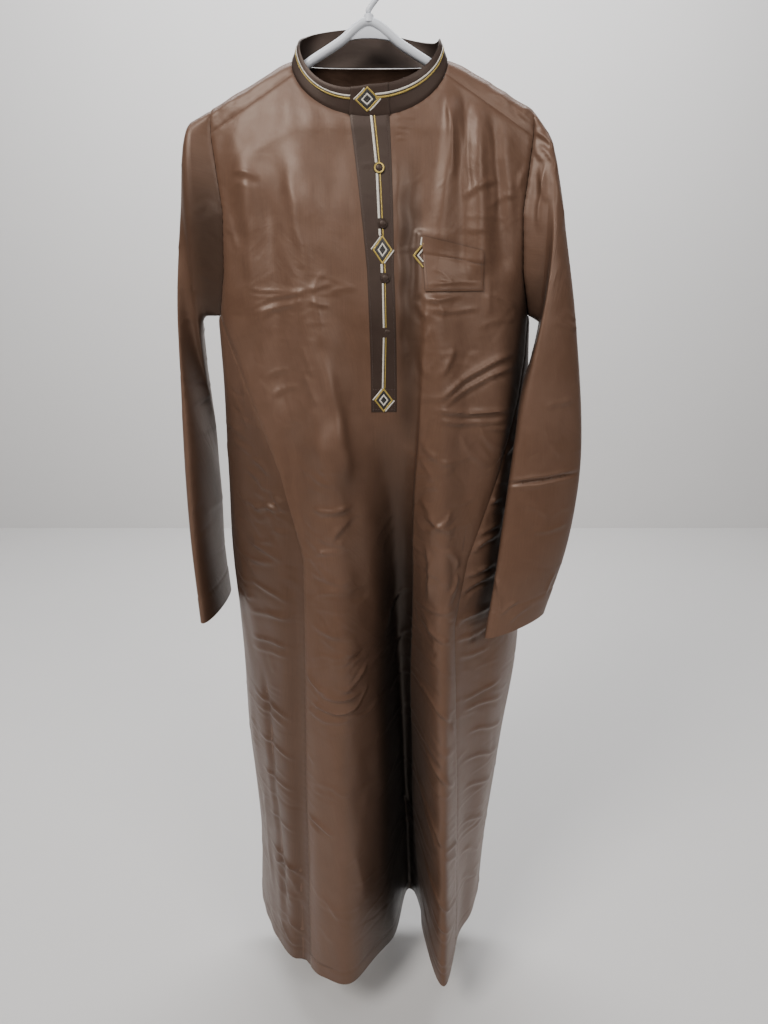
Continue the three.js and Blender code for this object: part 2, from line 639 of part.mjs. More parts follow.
// A little to the wearer's left of the placket's middle column.
function placketPoint(z) {
  return columnPoint(frontColumns / 2, z).lerp(columnPoint(frontColumns / 2 + 1, z), button.aside);
}

function buttonMesh(number, z) {
  const r = button.radius;
  const h = button.height;
  const profile = [[0, 0], [r * 0.82, 0], [r, h * 0.35], [r * 0.92, h * 0.72], [r * 0.5, h * 0.96], [0, h]];
  const geometry = new THREE.LatheGeometry(profile.map(([a, b]) => new THREE.Vector2(a, b)), 14);
  const mesh = piece(`button_${number}`, geometry, brownTrim());
  const fall = placketPoint(z + 12).sub(placketPoint(z - 12)).normalize();
  const normal = new THREE.Vector3(0, -fall.z, fall.y).normalize();
  mesh.quaternion.setFromUnitVectors(new THREE.Vector3(0, 1, 0), normal);
  mesh.position.copy(placketPoint(z)).addScaledVector(normal, liftGap + cloth + button.seat);
  return mesh;
}

// ---------------------------------------------------------------- hanger
function roundSection(radius, sides) {
  const shape = new THREE.Shape();
  for (let i = 0; i < sides; i += 1) {
    const angle = 2 * Math.PI * i / sides;
    const point = [radius * Math.cos(angle), radius * Math.sin(angle)];
    if (i === 0) {
      shape.moveTo(...point);
    } else {
      shape.lineTo(...point);
    }
  }
  shape.closePath();
  return shape;
}

// Straight through the neck opening to the knee, then along the underside of the shoulder's ridge.
function hangerArms() {
  const arm = (side) => [1, 0.87, 0.74, 0.62, 0.505, 0.36, 0.2].map((share) => {
    const x = side * hanger.armTip * share;
    const run = Math.abs(x - hanger.x) / hanger.kneeX;
    const z = share > 0.51
      ? shoulderZ(x) - hanger.armDrop
      : THREE.MathUtils.lerp(hanger.apexZ, hanger.kneeZ, run);
    return new THREE.Vector3(x, 0, z);
  });
  const points = [...arm(-1), new THREE.Vector3(hanger.x, 0, hanger.apexZ + 2), ...arm(1).reverse()];
  const path = new THREE.CatmullRomCurve3(points, false, 'catmullrom', 0.5);
  return new THREE.ExtrudeGeometry(roundSection(hanger.tube, 10), {
    steps: 26, bevelEnabled: false, extrudePath: path,
  });
}

function webGeometry() {
  const half = hanger.webHalf;
  const foot = hanger.apexZ - hanger.webDrop;
  const shape = new THREE.Shape();
  shape.moveTo(0, hanger.apexZ);
  shape.lineTo(-half, foot);
  shape.quadraticCurveTo(0, foot + 2 * hanger.webArch, half, foot);
  shape.closePath();
  const geometry = new THREE.ExtrudeGeometry(shape, {
    depth: hanger.webThick, bevelEnabled: false, curveSegments: 10,
  });
  geometry.rotateX(Math.PI / 2);
  return geometry.translate(hanger.x, hanger.webThick / 2, 0);
}

function collarBoss() {
  const boss = new THREE.CylinderGeometry(hanger.bossRadius, hanger.bossRadius + 1, hanger.bossHeight, 14);
  boss.rotateX(Math.PI / 2);
  return boss.translate(hanger.x, 0, hanger.apexZ + hanger.tube / 2 + hanger.bossHeight / 2);
}

function hookGeometry() {
  const reach = hanger.hookInner + hanger.hookTube;
  const foot = hanger.apexZ + hanger.tube / 2 + hanger.bossHeight + 0.35;
  const centreZ = -hanger.hookInner;
  const points = [
    new THREE.Vector3(hanger.x, 0, foot),
    new THREE.Vector3(hanger.x, 0, foot + 5),
  ];
  for (let degrees = hanger.hookStart; degrees <= hanger.hookEnd; degrees += 25) {
    const angle = THREE.MathUtils.degToRad(degrees);
    points.push(new THREE.Vector3(reach * Math.cos(angle), 0, centreZ + reach * Math.sin(angle)));
  }
  const path = new THREE.CatmullRomCurve3(points, false, 'centripetal');
  return new THREE.ExtrudeGeometry(roundSection(hanger.hookTube, 10), {
    steps: 34, bevelEnabled: false, extrudePath: path,
  });
}

function joined(geometries) {
  const solids = geometries.map((source) => {
    const bare = source.clone();
    bare.deleteAttribute('normal');
    bare.deleteAttribute('uv');
    const merged = mergeVertices(bare, 1e-3);
    return new wasm.Manifold(new wasm.Mesh({
      numProp: 3,
      vertProperties: merged.attributes.position.array,
      triVerts: new Uint32Array(merged.index.array),
    }));
  });
  const whole = solids.reduce((sum, solid) => sum.add(solid)).getMesh();
  const geometry = new THREE.BufferGeometry();
  geometry.setAttribute('position', new THREE.Float32BufferAttribute(whole.vertProperties, 3));
  geometry.setIndex(Array.from(whole.triVerts));
  geometry.computeVertexNormals();
  return geometry;
}

// ---------------------------------------------------------------- assembly
const grids = { front: frontGrid(), yoke: yokeGrid() };
grids.back = backGrid(grids.yoke[yokeRows]);
grids.goreLeft = goreGrid(1);
grids.goreRight = goreGrid(-1);
const mirrored = (grid) => grid.map((row) => [...row].reverse()); // turns the faces outward
const backFacing = mirrored(grids.back);
const yokeFacing = mirrored(grids.yoke);
const goreLeftFacing = grids.goreLeft;
const goreRightFacing = mirrored(grids.goreRight);
const sleeveLeft = mirrored(sleeveGrid(sleeveLeftTable, armholeLoop(1, grids), 1));
const sleeveRight = sleeveGrid(sleeveRightTable, armholeLoop(-1, grids), -1);
const collarFacing = mirrored(collarGrid(collarAngles()));
const tabFacing = mirrored(collarGrid(tabAngles()));
const goresFacing = [goreLeftFacing, goreRightFacing];
for (const grid of [grids.front, backFacing, yokeFacing, ...goresFacing, collarFacing, tabFacing]) {
  noteNormals(grid, false);
}
noteNormals(sleeveLeft, true);
noteNormals(sleeveRight, true);

const bothEnds = ['top', 'bottom'];
const thobe = new THREE.Group();
thobe.name = 'thobe_on_hanger';
thobe.add(piece('front_panel', wallGeometry(grids.front), brownSatin()));
thobe.add(piece('back_panel', wallGeometry(backFacing), brownSatin()));
thobe.add(piece('yoke', wallGeometry(yokeFacing, { sides: bothEnds }), brownSatin()));
thobe.add(piece('gore_left', wallGeometry(goreLeftFacing), brownSatin()));
thobe.add(piece('gore_right', wallGeometry(goreRightFacing), brownSatin()));
thobe.add(piece('sleeve_left', wallGeometry(sleeveLeft, { closed: true, gap: armholeGap }), brownSatin()));
thobe.add(piece('sleeve_right', wallGeometry(sleeveRight, { closed: true, gap: armholeGap }), brownSatin()));
const collarWall = wallGeometry(collarFacing, { sides: bothEnds, gap: collarGap });
thobe.add(piece('collar_band', collarWall, brownTrim()));
thobe.add(piece('collar_tab', wallGeometry(tabFacing, { sides: bothEnds, lift: liftGap }), brownTrim()));
const slice = (rows, columns) => grids.front.slice(rows[0], rows[1] + 1)
  .map((row) => row.slice(columns[0], columns[1] + 1));
const strip = slice([0, frontRows + placketStrip.endRow], [firstStrip, lastStrip]);
thobe.add(piece('placket', wallGeometry(strip, { lift: liftGap }), brownTrim()));
const patch = slice([pocket.firstRow, pocket.lastRow], [pocket.firstColumn, pocket.lastColumn]);
thobe.add(piece('chest_pocket', wallGeometry(patch, { lift: liftGap, middle: 0 }), brownSatin()));
button.heights.forEach((z, i) => thobe.add(buttonMesh(i + 1, z)));
thobe.add(piece('hanger_body', joined([hangerArms(), webGeometry(), collarBoss()]), whitePlastic()));
thobe.add(piece('hanger_hook', hookGeometry(), whitePlastic()));

export default thobe;
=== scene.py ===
import math

import bpy
import numpy as np
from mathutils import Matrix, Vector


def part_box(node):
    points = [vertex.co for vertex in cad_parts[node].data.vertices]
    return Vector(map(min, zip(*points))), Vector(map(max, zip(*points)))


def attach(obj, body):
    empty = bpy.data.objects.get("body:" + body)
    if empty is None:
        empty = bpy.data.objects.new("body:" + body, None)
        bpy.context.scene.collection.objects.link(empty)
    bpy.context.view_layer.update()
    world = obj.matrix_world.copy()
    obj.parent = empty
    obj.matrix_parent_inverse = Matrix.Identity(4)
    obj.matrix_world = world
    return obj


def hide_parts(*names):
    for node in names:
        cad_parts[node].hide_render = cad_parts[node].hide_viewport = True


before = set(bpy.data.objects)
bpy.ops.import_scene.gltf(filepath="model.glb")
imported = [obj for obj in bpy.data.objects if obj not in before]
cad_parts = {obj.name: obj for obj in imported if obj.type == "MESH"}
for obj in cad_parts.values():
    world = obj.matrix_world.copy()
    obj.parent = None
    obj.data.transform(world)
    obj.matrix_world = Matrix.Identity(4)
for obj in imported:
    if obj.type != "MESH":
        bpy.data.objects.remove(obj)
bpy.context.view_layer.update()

mm = 0.001
hemZ = -1582.0
armpitZ = -440.0


def aimed(place, target):
    dx, dy, dz = (b - a for a, b in zip(place, target))
    return (math.atan2(math.hypot(dx, dy), -dz), 0.0, math.atan2(-dx, dy))


def placed(name, data):
    made = bpy.data.objects.new(name, data)
    bpy.context.scene.collection.objects.link(made)
    return made


view = {"place": (0.016, -1.157, -0.355), "pitch": 71.5, "lens": 18.02, "sensor": 24.0, "nearest": 0.02}


def addCamera():
    data = bpy.data.cameras.new("camera")
    data.sensor_fit = "VERTICAL"
    data.sensor_height = view["sensor"]
    data.lens = view["lens"]
    data.clip_start = view["nearest"]
    made = placed("camera", data)
    made.location = view["place"]
    made.rotation_euler = (math.radians(view["pitch"]), 0.0, 0.0)
    bpy.context.scene.camera = made


def addLight(name, place, target, size, power, color):
    data = bpy.data.lights.new(name, "AREA")
    data.shape = "RECTANGLE"
    data.size, data.size_y = size
    data.energy = power
    data.color = color
    made = placed(name, data)
    made.location = place
    made.rotation_euler = aimed(place, target)


addCamera()
addLight("key", (-1.6, -2.2, 1.8), (0.0, 0.0, -0.6), (1.1, 1.1), 108.0, (1.0, 0.96, 0.92))
addLight("fill", (1.7, -2.5, 1.1), (0.1, 0.0, -0.5), (1.2, 1.0), 42.0, (1.0, 0.95, 0.91))
addLight("top", (-0.4, -1.3, 1.6), (0.0, 0.0, -0.3), (1.4, 0.6), 12.0, (0.95, 0.96, 1.0))
addLight("wall", (0.0, 0.9, 1.6), (0.0, 2.6, -0.7), (3.0, 1.0), 130.0, (0.97, 0.98, 1.0))


def add(tree, kind, inputs=(), **settings):
    made = tree.nodes.new(kind)
    for name, value in settings.items():
        setattr(made, name, value)
    for name, value in dict(inputs).items():
        socket = made.inputs[name]
        if isinstance(value, bpy.types.NodeSocket):
            tree.links.new(value, socket)
        else:
            socket.default_value = value
    return made


def mixed(tree, factor, first, second, blend="MIX"):
    made = add(tree, "ShaderNodeMix", data_type="RGBA", blend_type=blend)
    for socket, value in ((made.inputs[0], factor), (made.inputs[6], first), (made.inputs[7], second)):
        if isinstance(value, bpy.types.NodeSocket):
            tree.links.new(value, socket)
        else:
            socket.default_value = value
    return made.outputs[2]


def newTree(name):
    material = bpy.data.materials.new(name)
    material.use_nodes = True
    material.node_tree.nodes.clear()
    return material, material.node_tree


def noise(tree, place, scale, detail, roughness=0.5, distortion=0.0):
    return add(tree, "ShaderNodeTexNoise", {
        "Vector": place, "Scale": scale, "Detail": detail, "Roughness": roughness,
        "Distortion": distortion}).outputs[0]


def ranged(tree, value, start=0.0, end=1.0, low=0.0, high=1.0):
    return add(tree, "ShaderNodeMapRange", {
        "Value": value, "From Min": start, "From Max": end, "To Min": low, "To Max": high}).outputs[0]


def bumped(tree, height, strength, distance, **before):
    return add(tree, "ShaderNodeBump", {
        "Height": height, "Strength": strength, "Distance": distance, **before}).outputs[0]


def shaded(material, inputs):
    tree = material.node_tree
    shader = add(tree, "ShaderNodeBsdfPrincipled", inputs)
    add(tree, "ShaderNodeOutputMaterial", {"Surface": shader.outputs[0]})
    return material


def satin(name, color, pale, roughness, crinkle=1.0):
    material, tree = newTree(name)
    place = add(tree, "ShaderNodeTexCoord").outputs["Object"]
    cloth = add(tree, "ShaderNodeUVMap", uv_map="cloth").outputs[0]
    mottle = noise(tree, place, 48.0, 4.0, 0.6)
    stretched = add(tree, "ShaderNodeMapping", {"Vector": cloth, "Scale": (900.0, 22.0, 1.0)})
    slub = noise(tree, stretched.outputs[0], 1.0, 2.0)
    # painted shade: an occlusion node and the fold shade painted on each piece darken the base colour
    hollowShade = add(tree, "ShaderNodeAmbientOcclusion", {"Distance": 0.2}, samples=8).outputs["AO"]
    paintedFoldShade = add(tree, "ShaderNodeAttribute", attribute_name="deep").outputs["Fac"]
    broad = ranged(tree, noise(tree, place, 5.5, 3.0, 0.55), 0.35, 0.68)
    tone = mixed(tree, broad, (*color, 1.0), (*pale, 1.0))
    for factor in (
            ranged(tree, slub, 0.3, 0.7, 0.93, 1.06),
            ranged(tree, mottle, 0.3, 0.7, 0.94, 1.05),
            ranged(tree, hollowShade, 0.2, 0.84, 0.1, 1.0),  # painted shade: hollows and the feet of creases are darkened as if they held less light
            # painted shade: the darkness each piece paints into its folds
            ranged(tree, paintedFoldShade, 0.0, 1.0, 1.0, 0.12)):
        tone = mixed(tree, 1.0, tone, factor, "MULTIPLY")
    # threads 0.4 mm apart, the long floats of satin across them
    warp, weft = (
        add(tree, "ShaderNodeTexWave", {"Vector": cloth, "Scale": scale, "Distortion": twist},
            bands_direction=way).outputs[0]
        for scale, twist, way in ((785.0, 0.6, "X"), (390.0, 1.2, "DIAGONAL")))
    woven = bumped(tree, mixed(tree, 0.4, warp, weft), 0.16, 0.00012)
    lines = []
    for lean, wide, fine in ((-0.42, 10.0, 19.0), (0.65, 16.0, 27.0)):
        mapping = add(tree, "ShaderNodeMapping", {
            "Vector": cloth, "Rotation": (0.0, 0.0, lean), "Scale": (wide, fine, 1.0)})
        lines.append(add(tree, "ShaderNodeTexNoise", {
            "Vector": mapping.outputs[0], "Scale": 1.0, "Detail": 3.0, "Roughness": 0.5, "Lacunarity": 2.2,
            "Offset": 1.0, "Gain": 3.5, "Distortion": 0.35},
            noise_type="RIDGED_MULTIFRACTAL", normalize=True).outputs[0])
    patches = ranged(tree, noise(tree, place, 9.0, 1.0), 0.45, 0.7, 0.06, 1.0)
    pressed = mixed(tree, 1.0, mixed(tree, 0.45, *lines), patches, "MULTIPLY")
    lined = bumped(tree, pressed, 0.26 * crinkle, 0.002, Normal=woven)
    creased = bumped(tree, noise(tree, place, 95.0, 5.0, 0.62, 0.5), 0.05 * crinkle, 0.001, Normal=lined)
    swelled = bumped(tree, noise(tree, place, 21.0, 2.0, 0.5, 0.8), 0.09 * crinkle, 0.004, Normal=creased)
    return shaded(material, {
        "Base Color": tone, "Roughness": ranged(tree, mottle, 0.3, 0.7, roughness - 0.03, roughness + 0.04),
        "Specular IOR Level": 0.5, "Specular Tint": (1.0, 0.84, 0.74, 1.0), "Sheen Weight": 0.06,
        "Sheen Roughness": 0.4, "Sheen Tint": (1.0, 0.86, 0.78, 1.0), "Normal": swelled})


def thread(name, color, roughness, metallic):
    material, tree = newTree(name)
    cloth = add(tree, "ShaderNodeUVMap", uv_map="cloth").outputs[0]
    stitches = add(tree, "ShaderNodeTexWave", {
        "Vector": cloth, "Scale": 450.0, "Distortion": 1.5, "Detail": 1.0},
        bands_direction="DIAGONAL").outputs[0]
    worn = noise(tree, cloth, 260.0, 2.0)
    tone = mixed(tree, 1.0, (*color, 1.0), ranged(tree, stitches, 0.0, 1.0, 0.72, 1.08), "MULTIPLY")
    tone = mixed(tree, 1.0, tone, ranged(tree, worn, 0.3, 0.7, 0.85, 1.05), "MULTIPLY")
    return shaded(material, {
        "Base Color": tone, "Metallic": metallic, "Roughness": roughness, "Sheen Weight": 0.2,
        "Normal": bumped(tree, stitches, 0.5, 0.0002)})


def plastic(name, color):
    material, tree = newTree(name)
    place = add(tree, "ShaderNodeTexCoord").outputs["Object"]
    flow = noise(tree, place, 18.0, 2.0, 0.5, 0.6)
    dust = noise(tree, place, 120.0, 4.0)
    return shaded(material, {
        "Base Color": mixed(tree, flow, (*color, 1.0), tuple(0.9 * c for c in color) + (1.0,)),
        "Roughness": ranged(tree, dust, 0.0, 1.0, 0.24, 0.42), "Subsurface Weight": 0.06,
        "Subsurface Radius": (0.004, 0.004, 0.004), "Normal": bumped(tree, flow, 0.08, 0.001)})


def plaster(name, color):
    material, tree = newTree(name)
    place = add(tree, "ShaderNodeTexCoord").outputs["Object"]
    tone = mixed(tree, noise(tree, place, 3.0, 3.0), (*color, 1.0), tuple(0.97 * c for c in color) + (1.0,))
    return shaded(material, {"Base Color": tone, "Roughness": 0.85, "Specular IOR Level": 0.2})


brown = satin("brownSatin", (0.108, 0.056, 0.034), (0.130, 0.073, 0.049), 0.43)
trim = satin("darkSatin", (0.027, 0.0155, 0.0115), (0.035, 0.021, 0.016), 0.5, 0.4)
silver = thread("silverThread", (0.72, 0.68, 0.60), 0.4, 0.1)
gold = thread("goldThread", (0.46, 0.33, 0.07), 0.36, 0.35)
blackThread = thread("blackThread", (0.012, 0.010, 0.009), 0.5, 0.0)
seamThread = thread("brownThread", (0.085, 0.046, 0.031), 0.5, 0.0)
white = plastic("whitePlastic", (0.74, 0.77, 0.82))
pale = plaster("backdrop", (0.66, 0.65, 0.64))


# Sizes in millimetres. Outline of the hanging body at each height: its two edges, how far back they lie,
# how far it swells in front and behind, and how full its ends are.
sections = {
    "z": [-60, -190, -300, -440, -600, -800, -1000, -1170, -1400, -1582],
    "left": [-232, -232, -230, -226, -226, -232, -229, -231, -225, -234],
    "right": [232, 232, 232, 229, 236, 243, 247, 233, 216, 208],
    "side": [0, 0, 2, 4, 10, 25, 45, 60, 82, 95],
    "front": [38, 43, 62, 82, 100, 108, 112, 116, 122, 126],
    "back": [42, 46, 50, 52, 48, 42, 36, 31, 27, 25],
    "round": [0.62, 0.62, 0.62, 0.62, 0.64, 0.68, 0.72, 0.76, 0.8, 0.82],
}
seams = {
    "z": [-150, -205, -300, -380, -440, -500, -557, -657, -789, -892, -1200, -1582],
    "frontLeft": [-222, -218, -206, -210, -222, -196, -173, -135, -105, -107, -115, -118],
    "frontRight": [222, 218, 207, 212, 225, 222, 213, 188, 142, 124, 138, 150],
    "backLeft": [-222, -218, -209, -213, -222, -212, -200, -181, -165, -160, -156, -158],
    "backRight": [222, 218, 210, 215, 225, 216, 206, 190, 168, 160, 156, 152],
}
neck = {"x": -3.0, "halfWidth": 103.0, "frontDrop": 75.0, "seamAngle": 15.0, "backZ": -113.0}
shoulder = {"ridgeZ": -108.0, "start": 104.0, "slope": 0.54, "round": 12.0, "armRound": 8.5, "backHump": 34.0}
ridgeRound = 12.0
yokeFan = {  # where each part of the back neck's edge runs to on the back seam
    "angle": [165, 180, 195, 212, 230, 250, 270, 290, 310, 328, 345, 360, 375],
    "endX": [-150, -125, -100, -75, -50, -25, 0, 25, 50, 75, 100, 125, 150],
}
yokeSeamSlope = 0.61
yokeBackZ = -200.0

# place, half width and depth where a fold starts and where it ends; depth is into the body at the front
foldNames = ("z0", "z1", "x0", "x1", "w0", "w1", "d0", "d1", "grow", "edge", "fade")
frontFolds = [
    (-400, hemZ, 18, 46, 64, 60, 0, 92, 0.85, 2.0, 0),
    (-540, hemZ, 34, 72, 36, 26, 0, 128, 0.95, 2.6, 0),
    (-200, -620, -112, -56, 26, 30, -5, -12, 1.0, 2.0, 90),
    (-560, hemZ, -58, -44, 34, 32, -8, -10, 1.0, 2.0, 60),
    (-215, -440, -172, -166, 14, 18, -6, -5, 1.0, 2.0, 50),
    (-250, -520, -142, -128, 16, 22, 6, 7, 1.0, 2.0, 60),
    (-560, hemZ, -112, -128, 16, 16, 6, 18, 1.0, 2.0, 60),
    (-340, hemZ, 88, 122, 26, 24, -6, -74, 1.4, 2.0, 60),
    (-820, hemZ, 176, 166, 26, 20, 4, 16, 1.0, 2.0, 60),
    (-150, -330, 108, 92, 8, 13, -7, -4, 1.0, 2.0, 30),
    (-150, -350, 124, 122, 8, 13, 5, 4, 1.0, 2.0, 30),
    (-160, -360, 140, 150, 9, 15, -6, -5, 1.0, 2.0, 30),
    (-175, -360, 160, 178, 10, 16, 4, 5, 1.0, 2.0, 30),
]
backFolds = [
    (-330, hemZ, -118, -140, 30, 34, 4, 20, 1.0, 2.0, 90),
    (-330, hemZ, -62, -84, 26, 28, -5, -12, 1.0, 2.0, 90),
    (-260, hemZ, -8, -22, 30, 36, 5, 22, 1.0, 2.0, 90),
    (-330, hemZ, 52, 50, 24, 28, -5, -10, 1.0, 2.0, 90),
    (-330, hemZ, 108, 112, 30, 32, 4, 20, 1.0, 2.0, 90),
]


def smoothstep(value, low, high):
    t = np.clip((value - low) / (high - low), 0.0, 1.0)
    return t * t * (3.0 - 2.0 * t)


def lerp(a, b, t):
    return a + (b - a) * t


def hermite(table, by, key, at):
    xs, ys = np.array(table[by], float), np.array(table[key], float)
    at = np.asarray(at, float)
    if xs[0] > xs[-1]:
        xs, at = -xs, -at
    last = len(xs) - 1
    i = np.clip(np.searchsorted(xs, at) - 1, 0, last - 1)
    before, after = np.maximum(np.arange(last + 1) - 1, 0), np.minimum(np.arange(last + 1) + 1, last)
    slopes = (ys[after] - ys[before]) / (xs[after] - xs[before])
    span = xs[i + 1] - xs[i]
    t = np.clip((at - xs[i]) / span, 0.0, 1.0)
    return ((2 * t**3 - 3 * t**2 + 1) * ys[i] + (t**3 - 2 * t**2 + t) * span * slopes[i]
            + (3 * t**2 - 2 * t**3) * ys[i + 1] + (t**3 - t**2) * span * slopes[i + 1])


def sectionAt(key, z):
    return hermite(sections, "z", key, z)


def atHeight(table, key, z):  # straight between the heights of a table that runs downwards
    return np.interp(-np.asarray(z, float), -np.array(table["z"], float), table[key])


def seamAt(key, z):
    return atHeight(seams, key, z)


def shoulderZ(x):
    out = np.abs(x) - shoulder["start"]
    return shoulder["ridgeZ"] - shoulder["slope"] * (np.hypot(out, shoulder["round"]) + out) / 2


def backRidgeZ(x):
    across = np.abs(x - neck["x"]) / neck["halfWidth"]
    return shoulderZ(x) + shoulder["backHump"] * np.maximum(0.0, 1.0 - across**4)


def rounded(share):  # a quarter circle, from 0 at the ridge to 1
    return np.sqrt(1.0 - (1.0 - np.clip(share, 0.0, 1.0)) ** 2)


def overShoulder(drop, depth, reach):
    arm = shoulder["armRound"]
    fall = np.maximum(drop, 0.0)
    onArm = arm * rounded(fall / arm)
    return onArm + (depth - arm) * (1.0 - (1.0 - np.minimum(fall / reach, 1.0)) ** 1.5)


def lens(x, z):
    left, right = sectionAt("left", z), sectionAt("right", z)
    q = np.minimum(np.abs((2 * x - left - right) / (right - left)), 1.0)
    return q, np.maximum(1.0 - q**2.8, 0.0) ** sectionAt("round", z)


def foldDepth(rows, x, z, q):
    depth = np.zeros_like(x * z)
    for row in rows:
        fold = dict(zip(foldNames, row))
        t = np.clip((z - fold["z0"]) / (fold["z1"] - fold["z0"]), 0.0, 1.0)
        u = np.abs(x - lerp(fold["x0"], fold["x1"], t)) / lerp(fold["w0"], fold["w1"], t)
        amount = lerp(fold["d0"], fold["d1"], t ** fold["grow"])
        amount = amount * smoothstep(fold["z0"] - z, 0, fold["fade"] or 110)
        if fold["fade"] and fold["z1"] > hemZ:
            amount = amount * smoothstep(z - fold["z1"] + fold["fade"], 0, fold["fade"])
        depth += amount * np.exp(-(u ** fold["edge"]))
    return depth * (1.0 - q**8)


def backY(x, z):
    q, bow = lens(x, z)
    reach = overShoulder(backRidgeZ(x) - z, sectionAt("back", z) * bow, 60.0)
    return sectionAt("side", z) + reach + foldDepth(backFolds, x, z, q)


def frontY(x, z):
    q, bow = lens(x, z)
    side = sectionAt("side", z)
    reach = overShoulder(shoulderZ(x) - z, (side + sectionAt("front", z)) * bow, 90.0)
    free = side - reach + foldDepth(frontFolds, x, z, q)
    wall = backY(x, z) - 9.0 * bow
    kept = (free + wall - np.hypot(free - wall, 14.0 * bow + 0.01)) / 2  # never through the back
    return side + (kept - side) * rounded((shoulderZ(x) - z) / ridgeRound)


def onFront(x, z):
    x, z = np.broadcast_arrays(np.asarray(x, float), np.asarray(z, float))
    return np.stack([x, frontY(x, z), z], -1)


def onBack(x, z):
    x, z = np.broadcast_arrays(np.asarray(x, float), np.asarray(z, float))
    return np.stack([x, backY(x, z), z], -1)


def neckPoints(degrees):
    angle = np.radians(np.asarray(degrees, float))
    x = neck["x"] + neck["halfWidth"] * np.cos(angle)
    sine = np.sin(angle)
    front = onFront(x, shoulderZ(x) - neck["frontDrop"] * np.maximum(sine, 0.0))
    back = onBack(x, lerp(shoulderZ(x), neck["backZ"], np.minimum(-sine * 3, 1.0).clip(0.0)))
    return np.where((sine >= 0)[..., None], front, back)


def yokeSeam(side, steps):
    cross = neckPoints(neck["seamAngle"] if side > 0 else 180 - neck["seamAngle"])
    reach = abs(neckPoints(neck["seamAngle"])[0] - neck["x"])
    x = np.linspace(side * 218.0, cross[0], steps + 1)
    z = neckPoints(neck["seamAngle"])[2] - yokeSeamSlope * (np.abs(x - neck["x"]) - reach)
    return onFront(x, z)


# points across and down; quads are about 3 mm, which the narrowest creases need
meshSize = {
    "frontColumns": 150, "frontUpper": 110, "frontLower": 374, "backColumns": 140, "backUpper": 80,
    "backLower": 320, "goreFront": 34, "goreBack": 26, "goreRows": 370,
    "sleeveColumns": 150, "sleeveRings": 270,
}


def spaced(dense, fractions):
    runs = np.concatenate([[0.0], np.cumsum(np.linalg.norm(np.diff(dense, axis=0), axis=1))])
    at = np.asarray(fractions) * runs[-1]
    return np.stack([np.interp(at, runs, dense[:, k]) for k in range(3)], -1)


def lowerRow(place, start, end, z, steps):
    return spaced(place(np.linspace(start, end, 700), z), np.linspace(0, 1, steps + 1))


def lowerRows(place, leftKey, rightKey, heights, steps):
    return np.array([lowerRow(place, seamAt(leftKey, z), seamAt(rightKey, z), z, steps) for z in heights])


def shares(row):
    return (row[:, 0] - row[0, 0]) / (row[-1, 0] - row[0, 0])


def frontGrid(columns, upperRows, lowerCount):
    seamColumns = round(columns * 0.205)
    arcColumns = columns - 2 * seamColumns
    arc = neckPoints(np.linspace(180 - neck["seamAngle"], neck["seamAngle"], arcColumns + 1))
    left, right = yokeSeam(-1, seamColumns), yokeSeam(1, seamColumns)[::-1]
    top = np.concatenate([left[:-1], arc, right[1:]])
    lower = lowerRows(onFront, "frontLeft", "frontRight", np.linspace(armpitZ, hemZ, lowerCount + 1), columns)
    rows = []
    for r in range(upperRows):
        t = r / upperRows
        level = lerp(-190.0, armpitZ, t)
        z = level + (top[:, 2] + 190.0) * (1 - t) ** 2
        ends = level + (top[[0, -1], 2] + 190.0) * (1 - t) ** 2
        across = lerp(shares(top), shares(lower[0]), 1 - (1 - t) ** 2)
        x = lerp(seamAt("frontLeft", ends[0]), seamAt("frontRight", ends[1]), across)
        rows.append(top if r == 0 else onFront(x, z))
    return np.concatenate([np.array(rows), lower])


def backGrid(columns, upperRows, lowerCount):
    upper = np.linspace(yokeBackZ, armpitZ, upperRows + 1)[:-1]
    lower = np.linspace(armpitZ, hemZ, lowerCount + 1)
    return lowerRows(onBack, "backLeft", "backRight", np.concatenate([upper, lower]), columns)


def goreGrid(side, frontColumns, backColumns, count):
    key, fold = ("Left", "left") if side < 0 else ("Right", "right")
    rows = []
    for z in np.linspace(armpitZ, hemZ, count + 1):
        edge = float(sectionAt(fold, z))
        front = lowerRow(onFront, seamAt("front" + key, z), edge, z, frontColumns)
        back = lowerRow(onBack, edge, seamAt("back" + key, z), z, backColumns)
        rows.append(np.concatenate([front, back[1:]]))
    return np.array(rows)


def yokeGrid(rowCount, seamColumns, neckColumns):
    angles = np.linspace(180 - neck["seamAngle"], 360 + neck["seamAngle"], neckColumns + 1)
    left, right = yokeSeam(-1, seamColumns), yokeSeam(1, seamColumns)[::-1]
    start = np.concatenate([left[:-1], neckPoints(angles), right[1:]])
    fan = np.interp(angles, yokeFan["angle"], yokeFan["endX"])
    tips = np.linspace(218, 150, seamColumns + 1)[:-1]
    endX = np.concatenate([-tips, fan, tips[::-1]])
    onArm = np.ones(seamColumns)
    corner = np.clip(np.sin(np.radians(angles)) / 0.12, 0.0, 1.0)  # 1 in front of the shoulder's ridge
    ahead = np.concatenate([onArm, corner, onArm])
    inFront = ahead > 0
    drop = np.maximum(np.where(inFront, shoulderZ(start[:, 0]), backRidgeZ(start[:, 0])) - start[:, 2], 0.0)
    startRoot = np.sqrt(drop) * np.where(inFront, -1, 1)
    endRoot = np.sqrt(backRidgeZ(endX) - yokeBackZ)
    ridgeShare = 0.4 * ahead
    rows = [start]
    for t in np.linspace(0, 1, rowCount + 1)[1:]:
        rising = startRoot * (1 - np.minimum(t / np.maximum(ridgeShare, 1e-6), 1.0))
        falling = endRoot * (np.maximum(t - ridgeShare, 0.0) / (1 - ridgeShare)) ** 1.25
        root = np.where(inFront, np.where(t < ridgeShare, rising, falling), lerp(startRoot, endRoot, t))
        x = lerp(start[:, 0], endX, math.sin(t * math.pi / 2))
        front = onFront(x, shoulderZ(x) - root**2)
        back = onBack(x, backRidgeZ(x) - root**2)
        rows.append(np.where((root < 0)[:, None], front, back))
    return np.array(rows)


